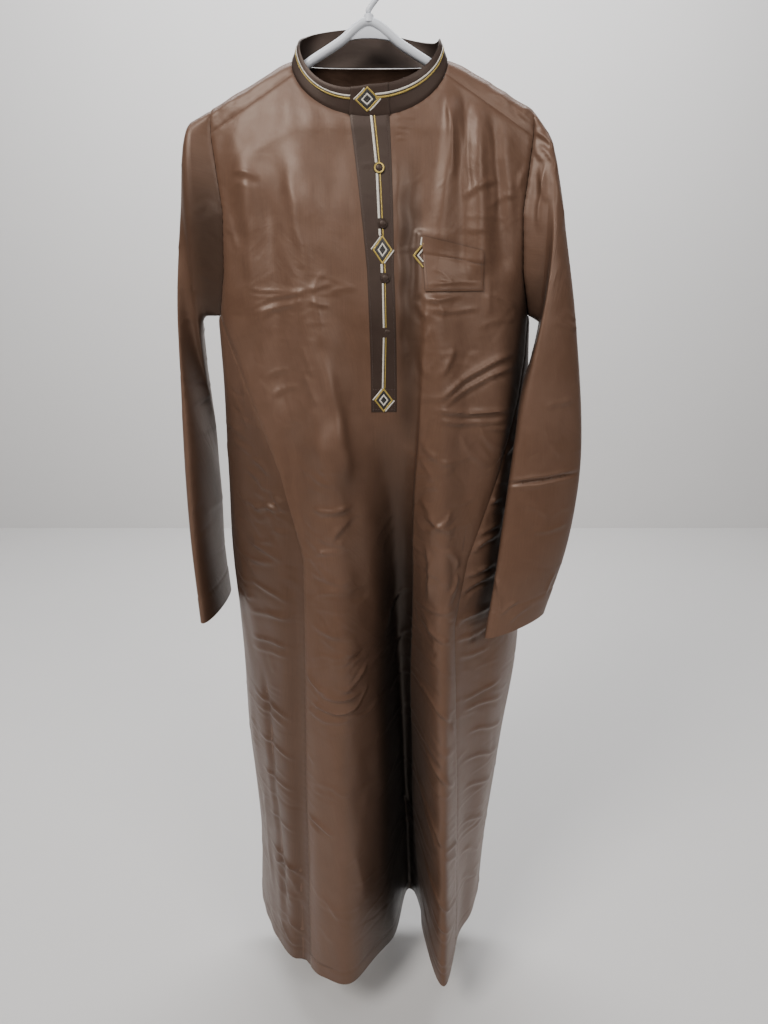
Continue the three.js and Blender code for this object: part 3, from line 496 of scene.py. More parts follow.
def armholeLoop(side, front, yoke, gore, back, columns):
    def edge(grid):
        return grid[:, 0] if side < 0 else grid[:, -1]
    frontEdge = edge(front)[: meshSize["frontUpper"] + 1]
    backEdge = edge(back)[: meshSize["backUpper"] + 1][::-1]
    loop = np.concatenate([edge(yoke)[::-1][:-1], frontEdge[:-1], gore[0], backEdge[1:]])
    return spaced(loop, np.linspace(0, 1, columns + 1))[:-1]


def sleeveGrid(table, loop, side, rings):
    columns = len(loop)
    crown = int(np.argmax(loop[:, 2]))
    crownZ = loop[crown, 2]
    height = np.clip(2 * (loop[:, 2] - armpitZ) / (crownZ - armpitZ) - 1, -1, 1)
    half = np.where(loop[:, 1] < 0, table["near"][0], table["far"][0])
    start = np.arctan2(-loop[:, 1] / half, height)
    even = 2 * np.pi * (np.arange(columns) - crown) / columns
    even = even + 2 * np.pi * np.round((start - even) / (2 * np.pi))
    firstRing = 1 / 15  # the cap's own length, where it leaves the armhole
    grid, turns = [], []
    for v in np.linspace(0, 1, rings + 1):
        at = {key: float(hermite(table, "v", key, max(v, firstRing))) for key in table if key != "v"}
        top = np.array([at["cx"], at["cy"], at["cz"]])
        under = np.array([at["ux"], at["uy"], at["uz"]])
        across = np.array([0.0, -1.0, 0.0])
        if side < 0:
            across = lerp(across, np.array([0.94, 0.34, 0.0]), smoothstep(max(v, firstRing), 0.3, 0.9))
            across = across / np.linalg.norm(across)
        angle = lerp(start, even, smoothstep(max(v, firstRing), 0, 0.5))
        sine = np.sin(angle)
        depth = np.where(sine > 0, at["near"], -at["far"]) * np.abs(sine)
        ring = (top + under) / 2 + np.cos(angle)[:, None] * (top - under) / 2 + depth[:, None] * across
        ring[:, 0] += np.where(sine < 0, at["slant"] * np.abs(sine), 0.0)
        grid.append(lerp(loop, ring, min(v / firstRing, 1.0)))
        turns.append(angle)
    return np.array(grid), np.array(turns)


sleeveLeftTable = {
    "v": [0, 0.1, 0.25, 0.45, 0.68, 0.84, 1],
    "cx": [222, 245, 266, 290, 309, 298, 266],
    "cy": [0, -12, -26, -38, -44, -54, -66],
    "cz": [-172, -215, -318, -462, -640, -768, -884],
    "ux": [226, 240, 214, 203, 191, 181, 169],
    "uy": [0, -22, -58, -75, -86, -97, -108],
    "uz": [-440, -454, -530, -616, -730, -818, -907],
    "near": [26, 30, 27, 22, 21, 20, 18],
    "far": [24, 36, 48, 54, 50, 38, 27],
    "slant": [0, 6, 15, 22, 22, 14, 6],
}
sleeveRightTable = {
    "v": [0, 0.1, 0.25, 0.45, 0.68, 0.84, 1],
    "cx": [-222, -252, -268, -284, -283, -282, -277],
    "cy": [0, -6, 2, -8, -22, -28, -32],
    "cz": [-172, -196, -286, -440, -640, -780, -922],
    "ux": [-226, -250, -256, -255, -259, -262, -256],
    "uy": [0, 10, 32, 66, 78, 80, 78],
    "uz": [-440, -446, -520, -620, -740, -826, -906],
    "near": [24, 26, 24, 13, 13, 15, 14],
    "far": [26, 24, 24, 18, 17, 16, 14],
    "slant": [0, 0, 0, 0, 0, 0, 0],
}


# Each crease runs from (x0, z0) to (x1, z1), bows sideways, and stands up, or sinks, by its depth.
creaseNames = ("x0", "z0", "x1", "z1", "bow", "width", "depth")
sharpBelow = 7.5  # narrower ones are pressed in, wider ones roll softly
skirtZ, skirtPress = -500, 1.45  # the skirt was pressed harder than the chest


def creaseHeight(rows, x, z):
    height = np.zeros_like(x)
    for row in rows:
        crease = dict(zip(creaseNames, row))
        runX, runZ = crease["x1"] - crease["x0"], crease["z1"] - crease["z0"]
        length = math.hypot(runX, runZ)
        reach = 4 * crease["width"] + abs(crease["bow"])
        left, right = sorted((crease["x0"], crease["x1"]))
        low, high = sorted((crease["z0"], crease["z1"]))
        near = (x > left - reach) & (x < right + reach) & (z > low - reach) & (z < high + reach)
        if not near.any():
            continue
        fromX, fromZ = x[near] - crease["x0"], z[near] - crease["z0"]
        along = (fromX * runX + fromZ * runZ) / length**2
        across = (fromZ * runX - fromX * runZ) / length
        waver = 0.12 * crease["width"] * np.sin(along * length / 9 + crease["x0"])
        q = (across - 4 * crease["bow"] * along * (1 - along) - waver) / crease["width"]
        ends = smoothstep(along, 0.0, 0.28) * smoothstep(1 - along, 0.0, 0.28)
        profile = np.exp(-q * q) - 0.5 * np.exp(-((q + 1.9) ** 2) / 1.7)  # ridge with a dip at its foot
        if crease["width"] < sharpBelow:  # a pressed line
            profile = 1.25 * np.exp(-1.4 * np.hypot(q, 0.12)) - 0.35 * np.exp(-((q + 1.3) ** 2))
        pressed = skirtPress if crease["z0"] < skirtZ else 1.0
        height[near] += pressed * crease["depth"] * ends * profile
    return height


def scatter(zones, seed):
    rng = np.random.default_rng(seed)
    rows = []
    for x0, x1, z0, z1, count, slant, spread, length, bow, width, depth in zones:
        for _ in range(count):
            x, z = rng.uniform(x0, x1), rng.uniform(z1, z0)
            angle = math.radians(slant + rng.normal(0, spread))
            half = length * rng.uniform(0.55, 1.5) / 2
            dx, dz = half * math.cos(angle), half * math.sin(angle)
            size = rng.uniform(0.6, 1.3)
            up = 0.6 * depth * size * rng.choice([1, 1, -0.8])
            rows.append((x - dx, z - dz, x + dx, z + dz, bow * rng.normal(0, 1), width * size, up))
    return rows


def buckles(x, z, seed, size, amount):  # slow, mostly upright swells of hanging cloth
    rng = np.random.default_rng(seed)
    total = np.zeros_like(x)
    for _ in range(6):
        wave = size * rng.uniform(0.6, 1.7)
        lean = rng.normal(0, 0.35)
        phase = rng.uniform(0, 6.28)
        slow = 0.5 * np.sin(z / (wave * 1.7) + phase)
        total += np.sin(2 * np.pi * (x * math.cos(lean) + z * math.sin(lean) * 0.5) / wave + phase + slow)
    return amount * total / 2.5


def edgeRuns(grid):
    across = np.linalg.norm(np.diff(grid, axis=1), axis=2)
    down = np.linalg.norm(np.diff(grid, axis=0), axis=2)
    u = np.pad(np.cumsum(across, 1), ((0, 0), (1, 0)))
    v = np.pad(np.cumsum(down, 0), ((1, 0), (0, 0)))
    return u, v


def edgeDistance(grid, sides):
    u, v = edgeRuns(grid)
    runs = {"left": u, "right": u[:, -1:] - u, "top": v, "bottom": v[-1:] - v}
    return np.min([runs[side] for side in sides], axis=0)


# Pieces sink to a seam, with small puckers of the stitching along it.
def seamed(height, grid, sides, settle=16.0):
    distance = edgeDistance(grid, sides)
    run = grid[..., 2] + 0.7 * grid[..., 0]
    pucker = 0.35 * np.sin(run / 1.9) * np.sin(run / 7.3 + 1) * np.exp(-distance / 7)
    return height * smoothstep(distance, 0, settle) - 0.9 * np.exp(-((distance / 2.4) ** 2)) + pucker


def gridNormals(grid, closed=False):
    if closed:
        wide = np.concatenate([grid[:, -1:], grid, grid[:, :1]], axis=1)
        across = (wide[:, 2:] - wide[:, :-2]) / 2
    else:
        across = np.gradient(grid, axis=1)
    normal = np.cross(np.gradient(grid, axis=0), across)
    return normal / np.maximum(np.linalg.norm(normal, axis=-1, keepdims=True), 1e-9)


def smoothNormals(grid, closed=False, passes=3):
    normal = gridNormals(grid, closed)
    for _ in range(passes):
        for axis in (0, 1):
            mode = "wrap" if closed and axis else "edge"
            pads = [(1, 1) if k == axis else (0, 0) for k in range(3)]
            padded = np.pad(normal, pads, mode=mode)
            if axis == 0:
                normal = padded[:-2] + padded[1:-1] + padded[2:]
            else:
                normal = padded[:, :-2] + padded[:, 1:-1] + padded[:, 2:]
        normal /= np.maximum(np.linalg.norm(normal, axis=-1, keepdims=True), 1e-9)
    return normal


def meshFrom(name, points, faces, uvs, material, smooth=60):
    mesh = bpy.data.meshes.new(name)
    corners = np.concatenate([np.asarray(block).ravel() for block in faces]).astype(np.int32)
    sizes = np.concatenate([np.full(len(block), np.asarray(block).shape[1]) for block in faces])
    starts = np.concatenate([[0], np.cumsum(sizes)[:-1]]).astype(np.int32)
    mesh.vertices.add(len(points))
    mesh.vertices.foreach_set("co", (np.asarray(points) * mm).astype(np.float32).ravel())
    mesh.loops.add(len(corners))
    mesh.loops.foreach_set("vertex_index", corners)
    mesh.polygons.add(len(starts))
    mesh.polygons.foreach_set("loop_start", starts)
    layer = mesh.uv_layers.new(name="cloth")
    layer.data.foreach_set("uv", (np.concatenate(uvs) * mm).astype(np.float32).ravel())
    mesh.update(calc_edges=True)
    mesh.validate()
    mesh.polygons.foreach_set("use_smooth", np.ones(len(starts), bool))
    mesh.set_sharp_from_angle(angle=math.radians(smooth))
    mesh.materials.append(material)
    return placed(name, mesh)


def gridQuads(rows, columns, wrap, offset=0, flip=False):
    r, c = np.meshgrid(np.arange(rows - 1), np.arange(columns if wrap else columns - 1), indexing="ij")
    r, c = r.ravel(), c.ravel()
    d = (c + 1) % columns
    cells = [(r, c, c), (r + 1, c, c), (r + 1, d, c + 1), (r, d, c + 1)]
    quads = np.stack([offset + row * columns + column for row, column, _ in cells], 1)
    ends = [(row, run) for row, _, run in cells]
    if flip:
        return quads[:, ::-1], ends[::-1]
    return quads, ends


# A wall: the fine face outside, a face of half as many points inside, and a rim between the two.
def wallPiece(name, outer, material, wall=1.4, closed=False, normals=None):
    rows, columns = outer.shape[:2]
    normals = gridNormals(outer, closed) if normals is None else normals
    inner = (outer - wall * normals)[::2, ::2]
    innerRows, innerColumns = inner.shape[:2]
    u, v = edgeRuns(np.concatenate([outer, outer[:, :1]], 1) if closed else outer)
    u = u - u[:, u.shape[1] // 2][:, None]
    fine = np.stack([u, v], -1)
    coarse = fine[::2, ::2]
    base = rows * columns
    quads, ends = gridQuads(rows, columns, closed)
    inside, insideEnds = gridQuads(innerRows, innerColumns, closed, base, True)
    uvs = [np.stack([fine[row, run] for row, run in ends], 1).reshape(-1, 2),
           np.stack([coarse[row, run] for row, run in insideEnds], 1).reshape(-1, 2)]
    faces = [quads, inside]

    def rim(outerLine, innerLine, outerUv, turned):
        k = np.arange(len(outerLine) // 2)
        loop = [outerLine[2 * k], innerLine[k], innerLine[k + 1], outerLine[2 * k + 2], outerLine[2 * k + 1]]
        places = [outerUv[2 * k], outerUv[2 * k], outerUv[2 * k + 2], outerUv[2 * k + 2], outerUv[2 * k + 1]]
        if turned:
            loop, places = loop[::-1], places[::-1]
        faces.append(np.stack(loop, 1))
        uvs.append(np.stack(places, 1).reshape(-1, 2))

    outerIndex = np.arange(base).reshape(rows, columns)
    innerIndex = base + np.arange(innerRows * innerColumns).reshape(innerRows, innerColumns)
    if closed:
        outerIndex = np.concatenate([outerIndex, outerIndex[:, :1]], 1)
        innerIndex = np.concatenate([innerIndex, innerIndex[:, :1]], 1)
    rim(outerIndex[0], innerIndex[0], fine[0], True)
    rim(outerIndex[-1], innerIndex[-1], fine[-1], False)
    if not closed:
        rim(outerIndex[:, 0], innerIndex[:, 0], fine[:, 0], False)
        rim(outerIndex[:, -1], innerIndex[:, -1], fine[:, -1], True)
    points = np.concatenate([outer.reshape(-1, 3), inner.reshape(-1, 3)])
    return meshFrom(name, points, faces, uvs, material)


def dress(piece, slot, *nodes):
    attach(piece, "root")
    if nodes:
        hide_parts(*nodes)
    return piece


def paintShade(piece, deep):  # painted shade: how far each outer point lies in a fold that light hardly reaches, stored for the material to darken its colour
    layer = piece.data.attributes.new("deep", "FLOAT", "POINT")
    values = np.zeros(len(piece.data.vertices), np.float32)
    values[:deep.size] = deep.ravel()
    layer.data.foreach_set("value", values)


# Works out the flat size and area of the smooth shape, before any crease, and keeps neither.
def cutSheet(piece, shape, closed=False):
    shape = np.concatenate([shape, shape[:, :1]], 1) if closed else shape
    u, v = edgeRuns(shape)
    cells = np.cross(np.diff(shape, axis=0)[:, :-1], np.diff(shape, axis=1)[:-1])


frontCreases = [
    # wearer's right of the chest
    (-190, -249, -148, -261, 4, 4, 1.9),
    (-188, -258, -152, -268, 2, 4, -1.3),
    (-177, -258, -177, -455, 7, 9, 1.5),
    (-196, -300, -184, -352, -3, 5, 1.4),
    (-206, -302, -192, -330, -3, 4, 1.5),
    (-112, -232, -80, -393, -5, 8, 1.8),
    (-80, -393, -70, -480, 2, 7, 2.2),
    (-72, -474, -34, -676, 5, 9, 3.4),
    (-180, -396, -80, -398, -6, 4, 1.4),
    (-178, -407, -92, -402, -5, 4, 1.3),
    (-172, -424, -84, -404, 4, 4, 1.6),
    (-168, -434, -100, -420, 3, 3.5, 1.4),
    (-172, -448, -84, -414, 6, 4.5, 1.6),
    (-84, -404, -52, -392, 3, 4, 1.6),
    (-84, -406, -60, -374, 2, 4, 1.5),
    (-88, -412, -56, -420, -3, 4, 1.6),
    (-96, -398, -104, -420, 2, 4, 1.5),
    (-60, -404, -20, -398, 3, 5, 1.2),
    (-96, -470, -78, -520, -3, 6, 1.4),
    (-152, -520, -112, -508, 3, 5, 1.2),
    (-146, -546, -98, -528, 3, 5, 1.3),
    (-96, -500, -70, -560, -4, 6, 1.4),
    (-80, -420, -44, -1120, 10, 22, 5.0),
    (-178, -262, -166, -540, 4, 17, -4.5),
    (-120, -190, -40, -420, 12, 19, 2.6),
    (53, -216, 50, -560, 0, 14, -6.5),
    # gathers under the wearer's left collar corner and shoulder
    (97, -150, 106, -262, 3, 5, 1.9),
    (112, -152, 124, -300, 4, 6, 2.2),
    (128, -160, 141, -296, -3, 5, 1.7),
    (147, -170, 166, -330, 5, 7, 2.3),
    (168, -182, 186, -330, 4, 8, 1.6),
    (118, -286, 172, -258, 4, 4.5, 2.2),
    (108, -344, 152, -322, 3, 4, 1.8),
    (150, -300, 196, -276, 4, 5, 1.0),
    (214, -236, 199, -274, -3, 5, 2.2),
    (204, -262, 214, -420, 4, 7, 1.8),
    (28, -186, 62, -184, 1, 2.6, 1.1),
    (30, -194, 54, -196, -1, 2.6, 1.1),
    (29, -202, 50, -205, 1, 2.4, 0.9),
    (31, -212, 48, -210, 1, 2.4, 0.7),
    # beside and below the pocket
    (60, -412, 78, -440, -3, 5, 2.2),
    (76, -404, 98, -438, 3, 5, 2.3),
    (82, -444, 66, -466, 3, 5, 1.6),
    (66, -412, 126, -404, -4, 5, 2.2),
    (70, -424, 152, -424, -4, 4, 1.6),
    (152, -372, 158, -440, 4, 6, 1.6),
    (64, -472, 84, -520, -5, 6, 1.8),
    (88, -520, 112, -470, -5, 5, 1.5),
    (160, -404, 206, -436, 5, 5, 1.4),
    (142, -452, 206, -444, 5, 5, 1.1),
    # pressed lines at the wearer's left of the belly
    (84, -553, 210, -486, 9, 5, 2.9),
    (92, -560, 212, -505, 8, 4.5, 2.3),
    (80, -559, 206, -568, -4, 4.5, 2.7),
    (82, -572, 206, -580, -6, 4, 1.8),
    (146, -578, 206, -640, -8, 5, 1.6),
    (120, -590, 168, -648, -6, 5, 1.2),
    (160, -590, 206, -604, 3, 4, 1.1),
    (70, -604, 116, -640, -6, 6, 1.5),
    (76, -710, 118, -738, -4, 5, 2.1),
    (117, -706, 78, -740, 3, 5, 2.1),
    (72, -690, 92, -734, 4, 5, 1.4),
    (104, -764, 124, -800, 8, 5, 2.0),
    (124, -800, 108, -840, 7, 5, 1.9),
    (80, -756, 84, -860, 5, 4, 2.4),
    (92, -770, 90, -836, -3, 4, 1.4),
    (64, -868, 124, -862, 3, 5, 1.5),
    (74, -884, 120, -912, -5, 5, 1.7),
    # folds across the wearer's right lobe
    (-92, -705, -28, -699, -3, 5, 2.3),
    (-86, -716, -36, -708, 3, 4, 1.0),
    (-64, -758, -28, -716, 5, 5, 2.1),
    (-88, -776, -52, -768, 3, 4, 1.5),
    (-84, -742, -38, -758, -4, 5, 1.2),
    (-96, -800, -30, -818, -6, 5, 1.2),
    (-92, -842, -36, -830, 5, 5, 1.1),
    (-100, -888, -34, -900, -7, 6, 1.2),
    (-112, -965, -62, -1010, -9, 4.5, 2.3),
    (-98, -1000, -12, -1006, -11, 5, 2.4),
    (-108, -1020, -16, -1030, -13, 4.5, 2.2),
    (-112, -1038, -30, -1050, -10, 5, 1.5),
    (-60, -1004, -8, -958, -8, 5, 1.8),
    (-40, -1040, -10, -1000, -5, 4, 1.5),
    (-112, -1110, -96, -1140, -3, 5, 0.9),
    (-120, -1246, -64, -1276, 6, 5, 2.5),
    (-118, -1258, -86, -1272, 3, 4, -1.0),
    (-70, -1170, -40, -1196, -3, 5, 1.3),
    (-106, -1180, -60, -1176, 4, 6, 0.9),
    (-94, -1400, -60, -1452, 5, 5, 1.2),
    (-40, -1300, -22, -1420, 4, 7, 0.9),
    # in the deep centre fold
    (20, -940, 64, -850, 16, 5, 1.8),
    (28, -1010, 78, -920, 16, 5, 1.6),
    (24, -1060, 70, -1020, 10, 5, 1.2),
    (52, -1290, 62, -1390, 4, 5, 2.0),
    (44, -1310, 70, -1340, 4, 4, 1.8),
    (46, -1360, 74, -1384, -4, 4, 1.8),
    # long slanting folds of the wearer's left lobe
    (62, -1004, 122, -1054, 9, 5, 2.9),
    (120, -1050, 152, -1104, -6, 5, 2.2),
    (110, -1030, 212, -1026, -7, 5, 2.0),
    (120, -1054, 212, -1074, -6, 5, 1.9),
    (124, -1078, 204, -1126, -8, 5, 2.1),
    (80, -1126, 134, -1184, 6, 5, 2.9),
    (132, -1180, 192, -1220, 5, 5, 2.7),
    (70, -1222, 115, -1290, 7, 5, 2.6),
    (113, -1286, 176, -1352, 7, 5, 2.9),
    (112, -1300, 172, -1412, 9, 5, 2.7),
    (82, -1262, 108, -1300, 3, 4, 1.5),
    (80, -1368, 156, -1468, 8, 5, 2.8),
    (136, -1256, 188, -1290, 4, 5, 2.1),
    (130, -1330, 176, -1392, -5, 5, 1.6),
    (98, -1440, 150, -1500, 6, 5, 2.0),
    (76, -1320, 96, -1340, 3, 5, 1.3),
    (90, -1500, 128, -1540, -4, 5, 1.5),
    (96, -1100, 150, -1132, 7, 6, 1.2),
]

# x0, x1, z0, z1, how many, slant in degrees, its spread, length, bow, width, depth
frontZones = [
    (-200, -30, -200, -420, 20, 10, 40, 34, 2, 3, 0.3),
    (-190, -40, -380, -470, 20, 8, 16, 55, 3, 3, 0.6),
    (-190, -90, -470, -640, 16, -35, 30, 50, 4, 4, 0.7),
    (40, 205, -230, -440, 26, 25, 45, 38, 3, 3.5, 0.6),
    (60, 205, -440, -700, 34, -5, 35, 52, 4, 4, 0.8),
    (-105, -20, -640, -940, 36, -12, 25, 46, 4, 4, 0.9),
    (-115, 0, -930, -1080, 26, 12, 25, 58, 5, 3.8, 1.1),
    (-120, 0, -1080, -1540, 22, -18, 25, 60, 4, 5, 0.6),
    (60, 140, -640, -940, 34, -28, 45, 44, 4, 4, 1.0),
    (60, 180, -940, -1240, 34, -24, 22, 66, 5, 4, 1.0),
    (70, 180, -1240, -1560, 30, -42, 18, 70, 5, 4, 0.9),
    (5, 70, -700, -1560, 26, 50, 35, 60, 6, 5, 0.8),
]


def placketMiddle(z):
    down = np.clip((z - placketStrip["topZ"]) / (placketStrip["endZ"] - placketStrip["topZ"]), 0, 1)
    return placketStrip["x"] + placketStrip["drift"] * (1 - (1 - down) ** 2), down


def placketHalf(down):
    return lerp(placketStrip["halfTop"], placketStrip["halfEnd"], np.minimum(2 * down, 1))


placketStrip = {"x": -3.0, "drift": 19.0, "halfTop": 26.0, "halfEnd": 18.0, "topZ": -183.0, "endZ": -566.0}
pocket = {"left": (66.0, 72.0), "right": (150.0, 152.0), "top": (-331.0, -350.0), "foot": (-402.0, -402.0)}


def underTrim(x, z):  # 0 where the placket or the pocket lies, 1 elsewhere
    middle, down = placketMiddle(z)
    beside = smoothstep(np.abs(x - middle) - placketHalf(down), -1, 9)
    below = smoothstep(placketStrip["endZ"] - z, 0, 12)
    strip = np.maximum(beside, below)
    outX = np.maximum(pocket["left"][0] - x, x - pocket["right"][1])
    outZ = np.maximum(pocket["foot"][0] - z, z - pocket["top"][0])
    return strip * smoothstep(np.maximum(outX, outZ), 1, 10)


# the sharp edge between the deep centre fold and the lobe over the wearer's left leg
lobeEdge = {
    "z": [-350, -420, -700, -1030, -1320, -1570], "x": [71, 71, 64, 66, 74, 92], "rise": [0, 2.5, 6, 7, 6, 5],
    "sharp": 4.0, "spread": 24.0,
}


def lobeRise(x, z):
    past = x - atHeight(lobeEdge, "x", z)
    fall = np.exp(-np.maximum(past - 2, 0) / lobeEdge["spread"])
    return atHeight(lobeEdge, "rise", z) * smoothstep(past, -lobeEdge["sharp"], 2) * fall


def frontRelief(x, z):
    height = creaseHeight(frontCreases + scatter(frontZones, 11), x, z) + lobeRise(x, z)
    return height + buckles(x, z, 5, 74.0, 0.9) + buckles(x, z, 8, 31.0, 0.28)


def hemRelief(distance, band):  # turned-up cloth and its line of stitching
    turned = 0.45 * smoothstep(band - distance, -1, 2)
    return turned - 0.55 * np.exp(-(((distance - band) / 2.2) ** 2))


hemBand = 26.0
inShade = {  # where shade is painted into the colour: in the centre fold by its depth, and in a strip beside the placket
    "depth": (8, 90), "x": 50.0, "spread": 19.0, "stop": 70.0,
    "top": (200, 330), "foot": (-640, -560), "share": 0.6,
}
front = frontGrid(meshSize["frontColumns"], meshSize["frontUpper"], meshSize["frontLower"])
x, z = front[..., 0], front[..., 2]
relief = frontRelief(x, z) * underTrim(x, z)
relief = seamed(relief, front, ("left", "right", "top"))
relief += hemRelief(edgeDistance(front, ("bottom",)), hemBand)
piece = wallPiece("frontCloth", front + relief[..., None] * smoothNormals(front), brown)
# painted shade in the deep centre fold and in a strip beside the placket
centreFold = foldDepth(frontFolds[:2], x, z, 0.0)
centreShade = smoothstep(centreFold, *inShade["depth"]) * smoothstep(atHeight(lobeEdge, "x", z) + 3 - x, 0, 6)
placketShade = np.exp(-(((x - inShade["x"]) / inShade["spread"]) ** 2)) * smoothstep(-z, *inShade["top"])
placketShade = placketShade * smoothstep(inShade["stop"] - x, 0, 6) * smoothstep(z, *inShade["foot"])
paintShade(piece, np.maximum(centreShade, inShade["share"] * placketShade))
cutSheet(dress(piece, "satin", "front_panel"), front)
print("front", len(piece.data.polygons))


backCreases = [
    (-150, -240, -60, -262, 6, 6, 1.8),
    (-40, -250, 60, -246, -6, 6, 1.6),
    (70, -262, 160, -238, 6, 6, 1.8),
    (-120, -300, -60, -420, 8, 9, 2.0),
    (96, -300, 70, -440, -8, 9, 2.2),
    (-160, -430, -40, -452, 7, 5, 2.0),
    (-150, -446, -70, -470, 5, 5, 1.5),
    (40, -500, 170, -478, 8, 5, 2.2),
    (60, -520, 176, -506, 6, 5, 1.7),
    (-20, -380, 10, -620, 10, 9, 2.0),
    (-150, -610, -60, -640, 7, 6, 2.1),
    (30, -660, 120, -690, -8, 6, 2.0),
    (-110, -740, 0, -726, 8, 6, 2.0),
    (-40, -780, 80, -812, -9, 6, 2.2),
    (60, -860, 150, -840, 6, 5, 2.0),
    (-140, -900, -50, -934, 8, 5, 2.2),
    (-90, -980, 30, -990, 9, 6, 2.2),
    (20, -1040, 140, -1086, -8, 6, 2.3),
    (-150, -1110, -40, -1150, 9, 5, 2.3),
    (-20, -1180, 90, -1226, 8, 6, 2.3),
    (-140, -1260, -60, -1310, -7, 5, 2.1),
    (30, -1290, 130, -1350, 8, 5, 2.4),
    (-90, -1390, 20, -1440, 8, 6, 2.2),
    (50, -1450, 130, -1500, -6, 5, 2.0),
]
backZones = [
    (-190, 190, -215, -480, 46, 4, 30, 60, 4, 5, 0.8),
    (-170, 170, -480, -900, 60, -8, 28, 66, 5, 5, 0.8),
    (-150, 150, -900, -1560, 70, -20, 24, 72, 6, 5, 0.8),
]
yokeCreases = [
    (206, -184, 226, -196, 3, 4, 2.0), (200, -176, 214, -170, 2, 3.5, 1.8),
    (192, -168, 214, -182, -3, 4, 1.8), (100, -128, 130, -150, 3, 6, 1.4),
    (150, -150, 186, -168, 3, 5, 1.3), (-130, -126, -168, -150, 3, 6, 1.0),
    (-180, -158, -206, -176, -2, 5, 1.1),
]
yokeZones = [(-215, 215, -110, -195, 30, 20, 40, 30, 3, 4, 0.7)]
goreLeftCreases = [
    (128, -700, 196, -672, 5, 4, 2.2), (140, -724, 198, -700, 6, 4, 2.0),
    (136, -752, 196, -736, -4, 4, 2.0), (132, -784, 196, -756, 5, 4, 2.1),
    (128, -812, 190, -800, -5, 4, 2.2), (126, -846, 196, -822, 6, 5, 2.0),
    (124, -880, 186, -874, -5, 5, 2.2), (126, -916, 200, -900, -8, 5, 2.4),
    (128, -942, 190, -950, -6, 5, 1.8), (134, -1026, 214, -1022, -5, 5, 1.9),
    (140, -1050, 222, -1070, 6, 5, 2.1), (150, -1100, 226, -1140, 8, 5, 2.4),
    (140, -1150, 220, -1200, 8, 5, 2.4), (146, -1214, 214, -1260, 7, 5, 2.3),
    (146, -1290, 206, -1350, 8, 5, 2.4), (150, -1360, 196, -1424, 7, 5, 2.2),
    (152, -1430, 196, -1500, 6, 5, 2.0),
]
goreRightCreases = [
    (-146, -682, -124, -716, -5, 4.5, 2.8), (-184, -719, -128, -712, 5, 4, 2.4),
    (-160, -700, -140, -716, -3, 4, 1.8), (-180, -640, -150, -662, 5, 5, 2.0),
    (-190, -655, -158, -688, 4, 4.5, 1.9), (-196, -706, -166, -722, 4, 4, 1.5),
    (-200, -770, -130, -800, 6, 5, 2.2), (-206, -800, -140, -792, -5, 5, 1.7),
    (-200, -840, -124, -866, 7, 5, 2.0), (-204, -900, -124, -890, 6, 5, 1.9),
    (-204, -947, -126, -940, 7, 4.5, 2.4), (-204, -966, -128, -956, 4, 4, 1.4),
    (-207, -1056, -128, -1078, 8, 4.5, 2.2), (-204, -1078, -140, -1090, 6, 4, 1.5),
    (-204, -1134, -128, -1150, 7, 4.5, 2.2), (-199, -1204, -132, -1212, 5, 4.5, 1.9),
    (-190, -1290, -134, -1300, 5, 4, 1.2), (-194, -1366, -120, -1402, 9, 5, 2.3),
    (-190, -1404, -122, -1372, 5, 4.5, 2.1), (-176, -1410, -150, -1470, 5, 5, 2.0),
    (-150, -1400, -126, -1470, 5, 5, 2.0), (-184, -980, -176, -1260, 5, 6, -2.6),
    (-178, -1180, -166, -1540, 5, 6, -2.8), (-196, -1240, -190, -1500, -4, 6, 2.2),
    (-160, -1500, -128, -1530, 4, 5, 2.4), (-176, -1520, -140, -1556, -4, 5, 2.4),
]
goreZones = {
    1: [
        (126, 230, -560, -960, 80, 24, 40, 34, 4, 3.6, 1.4),
        (130, 236, -960, -1560, 44, -34, 20, 56, 5, 4, 1.0),
    ],
    -1: [
        (-220, -110, -520, -900, 70, -30, 45, 36, 4, 3.8, 1.3),
        (-226, -120, -900, -1560, 44, -8, 26, 48, 5, 4, 0.9),
    ],
}

back = backGrid(meshSize["backColumns"], meshSize["backUpper"], meshSize["backLower"])
x, z = back[..., 0], back[..., 2]
relief = creaseHeight(backCreases + scatter(backZones, 21), x, z)
relief += buckles(x, z, 25, 90.0, 1.2) + buckles(x, z, 28, 34.0, 0.3)
relief = seamed(relief, back, ("left", "right", "top")) + hemRelief(edgeDistance(back, ("bottom",)), hemBand)
turnedBack = (back - relief[..., None] * smoothNormals(back))[:, ::-1]
cutSheet(dress(wallPiece("backCloth", turnedBack, brown), "satin", "back_panel"), back)

yoke = yokeGrid(36, 40, 120)
x, z = yoke[..., 0], yoke[..., 2]
relief = creaseHeight(yokeCreases + scatter(yokeZones, 31), x, z) + buckles(x, z, 35, 46.0, 0.5)
relief = seamed(relief, yoke, ("left", "right", "top", "bottom"), 12.0)
piece = wallPiece("yokeCloth", (yoke - relief[..., None] * smoothNormals(yoke))[:, ::-1], brown)
cutSheet(dress(piece, "satin", "yoke"), yoke)

gores = {}
goreSides = [
    (1, "goreLeft", "gore_left", goreLeftCreases),
    (-1, "goreRight", "gore_right", goreRightCreases),
]
for side, name, node, rows in goreSides:
    gore = goreGrid(side, meshSize["goreFront"], meshSize["goreBack"], meshSize["goreRows"])
    gores[side] = gore
    relief = creaseHeight(rows + scatter(goreZones[side], 40 + side), gore[..., 0], gore[..., 2])
    relief += buckles(gore[..., 1], gore[..., 2], 45 + side, 60.0, 0.6)
    relief = seamed(relief, gore, ("left", "right", "top"), 10.0)
    relief += hemRelief(edgeDistance(gore, ("bottom",)), hemBand)
    shaped = gore + side * relief[..., None] * smoothNormals(gore)
    piece = wallPiece(name + "Cloth", shaped if side > 0 else shaped[:, ::-1], brown)
    cutSheet(dress(piece, "satin", node), gore)
    # painted shade on the gore at the wearer's right, growing from 460 to 640 mm down
    if side < 0:
        paintShade(piece, (0.3 * smoothstep(-shaped[..., 2], 460, 640))[:, ::-1])
print("back, yoke and gores")


